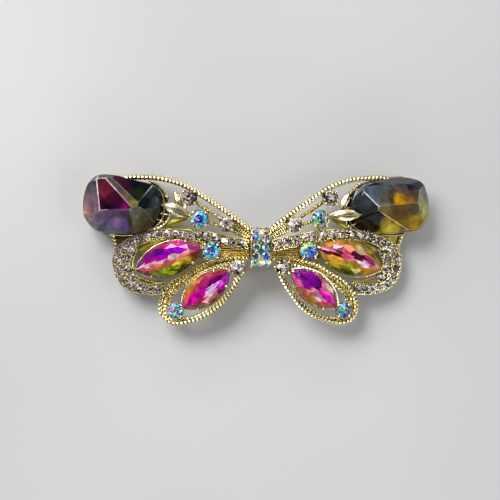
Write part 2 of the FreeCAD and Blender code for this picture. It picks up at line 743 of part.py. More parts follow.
def build_catch():
    """A split ring on a neck under the bar, and a slotted barrel that turns in it."""
    ring = tube_along_x("catch_ring", "catch_diameter / 2", "catch_length", "0 - catch_offset")
    neck = block("catch_neck", "catch_length / 2", "catch_neck_width", BAR_BOTTOM + " - pin_height",
                 "0 - catch_offset", "0 - catch_neck_width / 2", "pin_height")
    hollow = tube_along_x("catch_hollow", "catch_bore / 2", "catch_length * 2", "0 - catch_offset")
    finish_node("catch_housing", cut("catch_housing", fuse("catch_form", [ring, neck]),
                                     [hollow, slot("catch_opening", "catch_slot")]))

    core_length = "catch_length + 2 * flange_gap + 2 * flange_width"
    core = tube_along_x("rotor_core", "rotor_diameter / 2", core_length, "0 - catch_offset")
    flange_reach = "catch_length / 2 + flange_gap + flange_width / 2"
    flanges = [
        tube_along_x("rotor_outer_flange", "flange_diameter / 2", "flange_width",
                     "0 - catch_offset - ( " + flange_reach + " )"),
        tube_along_x("rotor_inner_flange", "flange_diameter / 2", "flange_width",
                     "0 - catch_offset + " + flange_reach),
    ]
    tab = block("rotor_tab", "flange_width", "thumb_tab_length", "thumb_tab_width",
                "0 - catch_offset - catch_length / 2 - flange_gap - flange_width",
                "0 - thumb_tab_length", "pin_height - thumb_tab_width / 2")
    passage = tube_along_x("rotor_passage", "rotor_bore / 2", "catch_length * 2", "0 - catch_offset")
    finish_node("catch_rotor", cut("catch_rotor", fuse("rotor_form", [core, tab] + flanges),
                                   [passage, slot("rotor_slot", "rotor_bore")]))


# ---------------------------------------------------------------- build, check and write

for which, side in SIDES.items():
    build_wing(which, side)
build_body()
build_bar()
build_rivet()
build_pin()
build_catch()
doc.recompute()

for thing in doc.Objects:
    if "Invalid" in thing.State or "Error" in thing.State:
        raise RuntimeError(f"{thing.Label} did not build")
for node in NODES:
    if node.Shape.isNull() or not node.Shape.isValid():
        raise RuntimeError(f"{node.Label} has no valid shape")

os.makedirs("parts", exist_ok=True)
for node in NODES:
    node.Shape.exportStep(f"parts/{node.Label}.step")
print(len(NODES), "nodes written")
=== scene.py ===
"""The looks of a butterfly brooch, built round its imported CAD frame."""
import math
import random

import bmesh
import bpy
from mathutils import Matrix, Vector


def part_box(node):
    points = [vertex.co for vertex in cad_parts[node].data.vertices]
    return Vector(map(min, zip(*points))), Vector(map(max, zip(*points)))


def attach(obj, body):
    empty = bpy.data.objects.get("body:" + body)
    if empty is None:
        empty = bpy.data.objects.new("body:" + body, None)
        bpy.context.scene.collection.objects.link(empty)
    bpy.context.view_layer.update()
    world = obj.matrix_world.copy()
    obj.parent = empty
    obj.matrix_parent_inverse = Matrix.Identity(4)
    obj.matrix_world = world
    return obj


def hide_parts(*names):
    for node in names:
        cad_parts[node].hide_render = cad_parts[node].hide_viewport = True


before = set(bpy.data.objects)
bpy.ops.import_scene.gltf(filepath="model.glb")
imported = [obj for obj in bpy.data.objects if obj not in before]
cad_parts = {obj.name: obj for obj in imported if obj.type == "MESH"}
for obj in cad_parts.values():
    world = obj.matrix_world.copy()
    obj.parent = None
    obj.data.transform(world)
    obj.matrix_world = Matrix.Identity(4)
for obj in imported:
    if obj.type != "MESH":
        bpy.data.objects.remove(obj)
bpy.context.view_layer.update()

# Wings are drawn flat in millimetres, as (out, up) points counted from the middle of the
# body, with a level above the back of the castings, and then bent back about the body.
MM = 0.001
WING_BEND = math.radians(10)
# How far the body's barrel reaches below the back of the castings.
BARREL_DROP = 0.5
ROOT_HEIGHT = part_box("body_barrel")[0].z / MM + BARREL_DROP
SIDES = {"left": -1, "right": 1}
UP = Vector((0, 0, 1))
chance = random.Random(7)

# ---- outlines of a wing ----

FOREWING_EDGE = [
    (2.0, 4.2), (8.4, 8.9), (14.7, 13.0), (19.6, 14.8), (24.6, 15.3), (26.4, 15.35), (28.2, 15.2),
]
OUTER_CORNER = [(31.8, 4.2), (30.9, 2.2), (30.2, -0.2)]
CORNER_RIM = [(26.4, 3.25), (29.0, 3.1), (31.7, 3.4)]
WIRE_TO_OUTER_STONE = [(14.0, 10.45), (10.5, 8.05), (6.9, 5.7)]
WIRE_TO_MIDDLE_STONE = [(12.6, 6.5), (10.0, 5.6), (7.4, 4.9)]
POST_TO_LOOP = [(12.6, 6.5), (12.8, 4.8), (12.5, 3.0)]
ROOT_PLATE = [(1.9, 1.9), (1.9, 4.2), (5.6, 6.9), (7.2, 4.6), (5.4, 3.4)]
CORNER_PLATE = [(25.0, 4.0), (31.6, 4.0), (30.2, 0.2), (26.5, 2.2)]

LOOP_MIDDLE = [
    (2.4, 0.9), (6.3, 1.7), (10.5, 2.6), (14.7, 3.15), (18.9, 3.25),
    (23.4, 2.85), (27.3, 1.3), (29.6, -1.0), (29.6, -3.9),
    (28.4, -6.4), (25.6, -7.9), (22.8, -8.3), (20.4, -8.0),
]
LOOP_INNER_ROW = [(27.0, -0.1), (27.9, -3.0), (26.6, -5.9)]
LOOP_WALL = [(15.6, 1.75), (20.8, 1.45), (25.2, -0.6)]
LOOP_BEADING = [(26.6, -5.0), (24.2, -6.4), (20.2, -6.9)]

HINDWING_OUTER = [
    (3.0, -3.2), (4.3, -5.7), (8.4, -11.6), (12.6, -14.3), (16.8, -15.4), (20.3, -14.1),
    (20.8, -10.5), (19.4, -7.7), (15.8, -5.2), (11.8, -2.9), (8.2, -1.9), (5.4, -1.6), (2.6, -1.5),
]
HINDWING_INNER = [
    (4.6, -4.9), (7.6, -9.9), (11.8, -13.2), (15.8, -14.4), (18.4, -13.7),
    (19.0, -11.2), (17.4, -8.4), (14.2, -6.0), (10.6, -3.9), (7.6, -3.1), (4.6, -2.9),
]

# Each round stone's place and diameter.
ROUND_STONES = {
    "aurora_upper": (12.6, 6.5, 3.6),
    "aurora_middle": (10.1, -0.25, 3.6),
    "aurora_lower": (17.7, -12.7, 3.2),
    "clear_outer": (14.8, 11.0, 3.2),
    "clear_inner": (6.9, 5.4, 3.0),
    "clear_lower": (4.5, -3.6, 3.0),
}
# Each marquise stone's place, its slope in degrees and its size.
NAVETTES = {
    "upper": {"centre": (19.0, -1.8), "slope": 18.2, "length": 15.0, "width": 7.2},
    "lower": {"centre": (11.15, -8.25), "slope": 38.4, "length": 12.5, "width": 6.3},
}
# Each leaf is (base, tip, width, level of base, level of tip). The lowest of each spray is dull.
LEAVES = {
    "left": [
        ((15.6, 7.9), (17.75, 12.3), 2.1, 1.9, 1.9), ((14.6, 7.1), (20.4, 9.7), 2.4, 2.2, 2.6),
        ((15.0, 6.9), (20.2, 4.9), 1.6, 1.5, 1.3),
    ],
    "right": [
        ((16.8, 8.1), (19.0, 12.5), 1.5, 2.4, 2.6), ((14.4, 7.1), (20.8, 7.5), 2.3, 3.7, 5.3),
        ((15.0, 6.9), (19.6, 4.4), 1.6, 1.5, 1.3),
    ],
}

PLATE_THICKNESS = 0.5
CUP_LEVEL = 0.6
GIRDLE_LEVEL = 2.15
NAVETTE_GIRDLE = 2.8
LOOP_LEVEL = 1.7


# ---- node materials ----

def fill_ramp(ramp, stops):
    """Give a colour ramp its (position, colour) stops."""
    while len(ramp.elements) < len(stops):
        ramp.elements.new(0.5)
    for element, (position, colour) in zip(ramp.elements, stops):
        element.position = position
        element.color = (*colour, 1.0)


class Material:
    """A node material with one glossy shader and short ways to add nodes to it."""

    def __init__(self, name, **settings):
        self.data = bpy.data.materials.new(name)
        self.data.use_nodes = True
        self.tree = self.data.node_tree
        self.shader = self.tree.nodes["Principled BSDF"]
        for socket, value in settings.items():
            self.shader.inputs[socket.replace("_", " ")].default_value = value

    def node(self, kind, **settings):
        made = self.tree.nodes.new("ShaderNode" + kind)
        for key, value in settings.items():
            if hasattr(made, key):
                setattr(made, key, value)
            else:
                made.inputs[key.replace("_", " ")].default_value = value
        return made

    def join(self, output, target):
        self.tree.links.new(output, target)

    def colour_by(self, output):
        self.join(output, self.shader.inputs["Base Color"])

    def place(self):
        return self.node("TexCoord").outputs["Object"]

    def noise(self, scale, detail=3.0, roughness=0.55, distortion=0.0):
        made = self.node("TexNoise", Scale=scale, Detail=detail, Roughness=roughness,
                         Distortion=distortion)
        self.join(self.place(), made.inputs["Vector"])
        return made.outputs["Fac"]

    def cells(self, size):
        made = self.node("TexVoronoi", Scale=1.0 / size)
        self.join(self.place(), made.inputs["Vector"])
        return made

    def ramp(self, source, stops, interpolation="LINEAR"):
        made = self.node("ValToRGB")
        made.color_ramp.interpolation = interpolation
        fill_ramp(made.color_ramp, stops)
        self.join(source, made.inputs["Fac"])
        return made.outputs["Color"]

    def multiply(self, first, second):
        made = self.node("Mix", data_type="RGBA", blend_type="MULTIPLY")
        factor, base, layer = (made.inputs[number] for number in (0, 6, 7))
        factor.default_value = 1.0
        self.join(first, base)
        self.join(second, layer)
        return made.outputs[2]

    def bump(self, height, distance):
        made = self.node("Bump", Distance=distance, Strength=1.0)
        self.join(height, made.inputs["Height"])
        self.join(made.outputs["Normal"], self.shader.inputs["Normal"])

    def roughen(self, source, low, high):
        made = self.node("MapRange", To_Min=low, To_Max=high)
        self.join(source, made.inputs["Value"])
        self.join(made.outputs["Result"], self.shader.inputs["Roughness"])


def srgb(red, green, blue):
    """A colour as a screen shows it, turned into the linear colour that shaders use."""
    return tuple((value / 255) ** 2.2 for value in (red, green, blue))


def grey(strength):
    return (strength,) * 3


# Noise scales are patches per metre.
GOLD_CLOUDS = 700.0
POLISHING_MARKS = 6000.0
GLASS_CLOUDS = 320.0
GLASS_VEINS = 900.0
# How far the painted shade in hollows reaches, and its middle colour.
HOLLOW_SHADE_REACH = 0.5 * MM
HOLLOW_SHADE_TINT = (0.55, 0.45, 0.22)


def gold(name, light, shade, roughness, grain=0.00002, dent=None):
    """Polished metal, uneven or hammered, with painted shade in the hollows between the beads."""
    made = Material(name, Metallic=1.0)
    deep = tuple(0.72 * value for value in light)
    base = made.ramp(made.noise(GOLD_CLOUDS), [(0.3, light), (0.75, deep)])
    # Painted shade: an ambient occlusion node darkens the metal in hollows, creases and between parts.
    hollow = made.node("AmbientOcclusion", Distance=HOLLOW_SHADE_REACH, samples=6)
    depth = made.ramp(hollow.outputs["AO"], [(0.2, shade), (0.45, HOLLOW_SHADE_TINT), (0.75, grey(1))])
    made.colour_by(made.multiply(base, depth))
    fine = made.noise(POLISHING_MARKS, detail=2.0)
    made.roughen(fine, roughness * 0.7, roughness * 1.5)
    made.bump(made.cells(dent).outputs["Distance"] if dent else fine, grain)
    return made.data


def crystal(name, cell_size, metallic, coat, steps):
    """A foiled crystal: each facet has its own tint, with cells of painted reflection laid over it."""
    made = Material(name, Metallic=metallic, Roughness=0.08, Coat_Weight=coat, Coat_Roughness=0.02,
                    Coat_IOR=1.55)
    tint = made.node("Attribute", attribute_name="tint").outputs["Color"]
    cells = made.cells(cell_size)
    parts = made.node("SeparateColor")
    made.join(cells.outputs["Color"], parts.inputs["Color"])
    stops = [(place, grey(strength)) for place, strength in steps]
    made.colour_by(made.multiply(tint, made.ramp(parts.outputs["Red"], stops, "CONSTANT")))
    return made.data


def nugget_glass(name):
    """Polished cloudy glass: tinted zones run into each other below a clear, glossy skin."""
    made = Material(name, Roughness=0.05, Coat_Weight=0.2, Coat_Roughness=0.01,
                    Specular_IOR_Level=0.25)
    tint = made.node("Attribute", attribute_name="tint").outputs["Color"]
    cloud = made.noise(GLASS_CLOUDS, detail=5.0, roughness=0.62, distortion=1.2)
    cloudy = made.ramp(cloud, [(0.3, grey(0.38)), (0.5, grey(0.72)), (0.72, grey(1.25))])
    veins = made.noise(GLASS_VEINS, detail=2.0)
    streak = made.ramp(veins, [(0.45, grey(0.88)), (0.7, (1.2, 1.15, 1.1))])
    made.colour_by(made.multiply(made.multiply(tint, cloudy), streak))
    return made.data


BRIGHT_GOLD = gold("bright_gold", (1.0, 0.90, 0.52), (0.06, 0.035, 0.01), 0.15)
SATIN_GOLD = gold("satin_gold", (0.94, 0.76, 0.28), (0.20, 0.11, 0.02), 0.28, 0.00004)
HAMMERED_GOLD = gold("hammered_gold", (0.99, 0.82, 0.30), (0.16, 0.09, 0.02), 0.18, 0.00022, 0.55 * MM)
WARM_GOLD = gold("warm_gold", (1.0, 0.82, 0.36), (0.34, 0.22, 0.06), 0.24)
PALE_GOLD = gold("pale_gold", (0.92, 0.82, 0.52), (0.16, 0.11, 0.05), 0.22)
OLIVE_GOLD = gold("olive_gold", (0.58, 0.50, 0.09), (0.20, 0.15, 0.02), 0.32)
# A near-black metal whose colour paints shade, under the nugget and in the calyx's gap.
SHADOW_DARK_GOLD = gold("shadow_dark_gold", (0.10, 0.07, 0.02), (0.06, 0.04, 0.01), 0.35)
FINDING_METAL = gold("finding_metal", (0.80, 0.66, 0.34), (0.30, 0.20, 0.08), 0.22)
STEEL_WIRE = gold("steel_wire", (0.62, 0.61, 0.58), (0.35, 0.34, 0.33), 0.18)
# The brightest cells, up to twice the tint, are painted sparkle.
SMALL_CRYSTAL = crystal("small_crystal", 0.36 * MM, 0.2, 1.0,
                        [(0.0, 0.15), (0.22, 0.5), (0.45, 0.85), (0.7, 1.2), (0.86, 2.0)])
LARGE_CRYSTAL = crystal("large_crystal", 1.0 * MM, 0.12, 0.2,
                        [(0.0, 0.5), (0.25, 0.75), (0.5, 0.9), (0.75, 1.1), (0.9, 1.35)])
NUGGET_GLASS = nugget_glass("nugget_glass")


# ---- mesh tools ----

def wing_matrix(side):
    """From a wing's flat millimetres to the brooch's own frame in metres."""
    bend = Matrix.Rotation(side * WING_BEND, 4, "Y")
    return Matrix.Scale(MM, 4) @ Matrix.Translation((0, 0, ROOT_HEIGHT)) @ bend


BODY_MATRIX = Matrix.Scale(MM, 4) @ Matrix.Translation((0, 0, ROOT_HEIGHT))


def new_shape():
    shape = bmesh.new()
    shape.loops.layers.float_color.new("tint")
    return shape


def add_object(name, data):
    """Put an object into the scene."""
    made = bpy.data.objects.new(name, data)
    bpy.context.scene.collection.objects.link(made)
    return made


def finish_piece(name, shape, material, matrix, replaced=None, smooth_below=35):
    """Turn a shape into a piece that rides on the brooch, in place of a CAD node if one is named."""
    bmesh.ops.recalc_face_normals(shape, faces=shape.faces)
    shape.transform(matrix)
    mesh = bpy.data.meshes.new(name)
    shape.to_mesh(mesh)
    shape.free()
    for polygon in mesh.polygons:
        polygon.use_smooth = smooth_below > 0
    if smooth_below > 0:
        mesh.set_sharp_from_angle(angle=math.radians(smooth_below))
    mesh.materials.append(material)
    piece = add_object(name, mesh)
    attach(piece, "brooch")
    if replaced:
        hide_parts(replaced)


def finish_on_wing(which, name, shape, material, replaced=None, smooth_below=35,
                   place=Matrix()):
    """The same for a piece of one wing, whose names start with the wing's side."""
    finish_piece(f"{which}_{name}", shape, material, wing_matrix(SIDES[which]) @ place,
                 f"{which}_{replaced}" if replaced else None, smooth_below)


def arc_through(start, middle, end, step):
    """Points along the arc through three points, about one step apart, without the last."""
    first, second = middle - start, end - start
    cross = first.cross(second)
    if cross.length < 1e-6:
        count = max(2, round(second.length / step))
        return [start + second * (i / count) for i in range(count)]
    centre = start + (cross.cross(first) * second.length_squared
                      + second.cross(cross) * first.length_squared) / (2 * cross.length_squared)
    arm = start - centre
    turn = arm.angle(end - centre)
    if (middle - centre).angle(arm) > turn:
        turn = 2 * math.pi - turn
    count = max(2, round(arm.length * turn / step))
    axis = cross.normalized()
    return [centre + Matrix.Rotation(turn * i / count, 3, axis) @ arm for i in range(count)]


def wing_path(side, points, level, step=0.25):
    """A run of arcs, each through three points, on a level of a wing."""
    corners = [Vector((side * out, up, level)) for out, up in points]
    path = []
    for start, middle, end in zip(corners[0::2], corners[1::2], corners[2::2]):
        path += arc_through(start, middle, end, step)
    return path + [corners[-1]]


def resample(path, spacing):
    """Evenly spaced places along a path, from its first point to its last."""
    lengths = [0.0]
    for start, end in zip(path, path[1:]):
        lengths.append(lengths[-1] + (end - start).length)
    count = max(1, round(lengths[-1] / spacing))
    places, index = [], 0
    for i in range(count + 1):
        wanted = lengths[-1] * i / count
        while index < len(path) - 2 and lengths[index + 1] < wanted:
            index += 1
        share = (wanted - lengths[index]) / max(lengths[index + 1] - lengths[index], 1e-9)
        places.append(path[index].lerp(path[index + 1], share))
    return places


def directions(path):
    """The heading at each place of a path."""
    ends = [(path[min(i + 1, len(path) - 1)] - path[max(i - 1, 0)]) for i in range(len(path))]
    return [end.normalized() for end in ends]


def angles_round(count, offset=0.0):
    """Evenly spaced angles round a circle, all turned by an offset's share of the space between."""
    return [2 * math.pi * (i + offset) / count for i in range(count)]


def skin(shape, rings):
    """Faces between neighbouring closed rings of points, with lids on both ends."""
    made = [[shape.verts.new(point) for point in ring] for ring in rings]
    count = len(made[0])
    for lower, upper in zip(made, made[1:]):
        for i in range(count):
            j = (i + 1) % count
            shape.faces.new((lower[i], lower[j], upper[j], upper[i]))
    shape.faces.new(made[0])
    shape.faces.new(made[-1])


def sweep(shape, path, profile):
    """Carry a closed profile of (across, height) points along a path."""
    rings = []
    for place, heading in zip(path, directions(path)):
        across = heading.cross(UP).normalized()
        rings.append([place + across * right + UP * rise for right, rise in profile])
    skin(shape, rings)


def circle_profile(radius, sides=8):
    return [(radius * math.cos(angle), radius * math.sin(angle)) for angle in angles_round(sides)]


ROPE_STRANDS = 2
ROPE_PITCH = 1.7
ROPE_STEPS = 12


def rope(shape, path, width):
    """Strands twisted about a path, as drawn filigree wire is."""
    fine = resample(path, ROPE_PITCH / ROPE_STEPS)
    strand_radius = width * 0.28
    reach = width * 0.22
    for start in angles_round(ROPE_STRANDS):
        centres = []
        for i, (place, heading) in enumerate(zip(fine, directions(fine))):
            turn = start + 2 * math.pi * i / ROPE_STEPS
            across = heading.cross(UP).normalized()
            centres.append(place + across * (reach * math.cos(turn)) + UP * (reach * math.sin(turn)))
        sweep(shape, centres, circle_profile(strand_radius, 7))


def bead(shape, centre, radius, squash=1.0):
    """A small ball of metal."""
    where = Matrix.Translation(centre) @ Matrix.Diagonal((radius, radius, radius * squash, 1))
    bmesh.ops.create_icosphere(shape, subdivisions=1, radius=1.0, matrix=where)


def beading(shape, path, radius, pitch):
    """Small balls of metal in a row along a path."""
    for place in resample(path, pitch):
        bead(shape, place, radius)


def plate(shape, points, low, high):
    """A flat plate with a given outline."""
    skin(shape, [[Vector((x, y, level)) for x, y in points] for level in (low, high)])


def lathe(shape, centre, profile, sides=20):
    """Turn a profile of (radius, level) points about an upright axis."""
    skin(shape, [[centre + Vector((radius * math.cos(angle), radius * math.sin(angle), level))
                  for angle in angles_round(sides)] for radius, level in profile])


def claw(shape, path, widths, beside, lean, flatness=1.0):
    """A claw that changes its width along its path, as wide as it is thick or flatter."""
    rings = []
    for place, width in zip(path, widths):
        rings.append([place + beside * (width * math.cos(angle))
                      + lean * (flatness * width * math.sin(angle)) for angle in angles_round(8)])
    skin(shape, rings)


def slice_through(shape, place, normal, clear=False):
    """Cut faces where a plane meets them, and take away what lies beyond it if asked."""
    everything = shape.verts[:] + shape.edges[:] + shape.faces[:]
    bmesh.ops.bisect_plane(shape, geom=everything, plane_co=place, plane_no=normal, clear_outer=clear)


# ---- faceted stones ----

def paint(shape, face, colour):
    """Give a face one colour."""
    tint = shape.loops.layers.float_color["tint"]
    for loop in face.loops:
        loop[tint] = (*colour, 1.0)


def uneven(colour, spread):
    """A colour made a little lighter or darker, as each facet is."""
    strength = chance.uniform(1 - spread, 1 + spread)
    return tuple(min(1.0, strength * value) for value in colour)


GIRDLE_THICKNESS = 0.18
KITE_RISE = 0.62


def cut_stone(shape, outline, table, girdle, crown, depth, count):
    """A stone's table, star, kite and girdle facets above a simple point below.

    outline and table give a place in plan for an angle. Returns the faces and the vertices.
    """
    def ring(where, level, number, offset=0.0):
        return [shape.verts.new(Vector((*where(angle), level))) for angle in angles_round(number, offset)]

    def between(angle):
        return tuple(0.45 * near + 0.55 * far for near, far in zip(table(angle), outline(angle)))

    def half_way_in(angle):
        return tuple(0.5 * value for value in table(angle))

    top = girdle + crown
    table_ring = ring(table, top, count)
    half_table = ring(half_way_in, top, count, 0.5)
    middle_ring = ring(between, girdle + crown * KITE_RISE, count, 0.5)
    edge_ring = ring(outline, girdle, 2 * count)
    foot_ring = ring(outline, girdle - GIRDLE_THICKNESS, 2 * count)
    heart = shape.verts.new(Vector((0, 0, top)))
    point = shape.verts.new(Vector((0, 0, girdle - depth)))
    facets = []
    for i in range(count):
        after, before = (i + 1) % count, (i - 1) % count
        corner, halfway, next_corner = (edge_ring[(2 * i + step) % (2 * count)] for step in range(3))
        facets += [
            (heart, half_table[before], half_table[i]),
            (half_table[before], table_ring[i], half_table[i]),
            (half_table[i], table_ring[i], table_ring[after]),
            (table_ring[i], middle_ring[i], table_ring[after]),
            (table_ring[i], middle_ring[before], corner, middle_ring[i]),
            (middle_ring[i], corner, halfway),
            (middle_ring[i], halfway, next_corner),
        ]
    for i in range(2 * count):
        after = (i + 1) % (2 * count)
        facets.append((edge_ring[i], foot_ring[i], foot_ring[after], edge_ring[after]))
        facets.append((foot_ring[i], point, foot_ring[after]))
    faces = [shape.faces.new(corners) for corners in facets]
    verts = table_ring + half_table + middle_ring + edge_ring + foot_ring + [heart, point]
    return faces, verts


# Colours of crystal, by name: the coatings' own colours, and white for a painted highlight.
CRYSTAL = {
    "white": srgb(248, 250, 252), "pearl": srgb(242, 232, 226), "silver": srgb(205, 205, 210),
    "ash": srgb(190, 176, 168), "grey": srgb(150, 150, 155), "mauve": srgb(162, 148, 148),
    "brown": srgb(120, 100, 92), "dark": srgb(62, 50, 50), "black": srgb(28, 22, 26),
    "sky": srgb(120, 198, 246), "aqua": srgb(105, 212, 232), "cyan": srgb(60, 185, 228),
    "blue": srgb(80, 120, 235), "deep": srgb(45, 55, 200), "navy": srgb(55, 75, 145),
    "mint": srgb(150, 230, 205), "lime": srgb(190, 235, 110), "sage": srgb(140, 165, 150),
    "teal": srgb(70, 130, 130), "lavender": srgb(180, 165, 225), "rose": srgb(170, 110, 110),
    "gold": srgb(220, 190, 110),
}

# Facet colours of the smoky stones, picked at random: greys and browns, with white facets as painted
# sparkle.
SMOKE = "pearl ash ash white brown ash mauve mauve ash pearl brown dark ash black".split()
SMOKE_HEART = "dark brown ash pearl black mauve".split()

# Each coloured round stone: the colours round its rim, from the side of the +X axis and on
# through +Y, and the colours of its table.
AURORA = {
    "left_upper": ("cyan aqua sky white mint mint white aqua", "deep deep blue blue lavender"),
    "left_middle": ("sky cyan aqua sky white blue sky aqua", "deep navy blue sky grey"),
    "left_lower": ("aqua cyan sky lavender lavender white sky aqua", "silver sky white lavender grey"),
    "right_upper": ("silver sage sky blue mint mint lime sage", "teal sage teal grey sage"),
    "right_middle": ("blue sky lime lime aqua cyan sky blue", "deep blue navy sky mint"),
    "right_lower": ("blue deep sky sky aqua white sky blue", "mint sage sky lime sage"),
}
# The body's stones, by column and by row up the body.
BODY_STONES = {
    (-1, 2): ("white lavender silver gold white silver grey blue", "grey silver lavender"),
    (-1, 1): ("mint aqua sky blue deep blue rose rose", "deep sky blue"),
    (-1, 0): ("sage mint grey white sage silver grey white", "teal sage grey"),
    (-1, -1): ("white mint grey dark teal aqua teal sage", "navy teal grey"),
    (-1, -2): ("mint gold sage mint mint white mint sage", "mint sage mint"),
    (1, 2): ("gold white rose gold white silver gold rose", "grey gold silver"),
    (1, 1): ("white dark silver grey silver lavender white grey", "grey navy grey"),
    (1, 0): ("sage dark grey sage mint white sky aqua", "black teal sage"),
    (1, -1): ("grey silver blue sky blue deep blue sky", "deep deep blue"),
    (1, -2): ("white silver mint white silver mint white silver", "silver white grey"),
}

RIM_COLOURS = 8
ROUND_TABLE = 0.56
ROUND_SPREAD = 0.3
NAVETTE_SPREAD = 0.22


def smoky_rim():
    return [chance.choice(SMOKE) for _ in range(RIM_COLOURS)]


def round_stone(shape, place, radius, rim, heart, crown, depth):
    """A round brilliant, with its colours running round it, set where place puts it."""
    def circle(size):
        return lambda angle: (size * math.cos(angle), size * math.sin(angle))

    faces, verts = cut_stone(shape, circle(radius), circle(radius * ROUND_TABLE), 0.0, crown, depth, 8)
    for face in faces:
        centre = face.calc_center_median()
        if centre.xy.length < radius * ROUND_TABLE * 0.85:
            colour = chance.choice(heart)
        else:
            share = math.atan2(centre.y, centre.x) / (2 * math.pi)
            colour = rim[int(len(rim) * share + chance.uniform(0, 1)) % len(rim)]
        paint(shape, face, uneven(CRYSTAL[colour], ROUND_SPREAD))
    bmesh.ops.transform(shape, matrix=place, verts=verts)


def lens_point(angle, length, width):
    """A place on a pointed oval, whose two sides are arcs of a circle."""
    x = length / 2 * math.cos(angle)
    radius = (length * length + width * width) / (4 * width)
    y = math.sqrt(radius * radius - x * x) - (radius - width / 2)
    return x, math.copysign(max(y, 0.0), math.sin(angle))


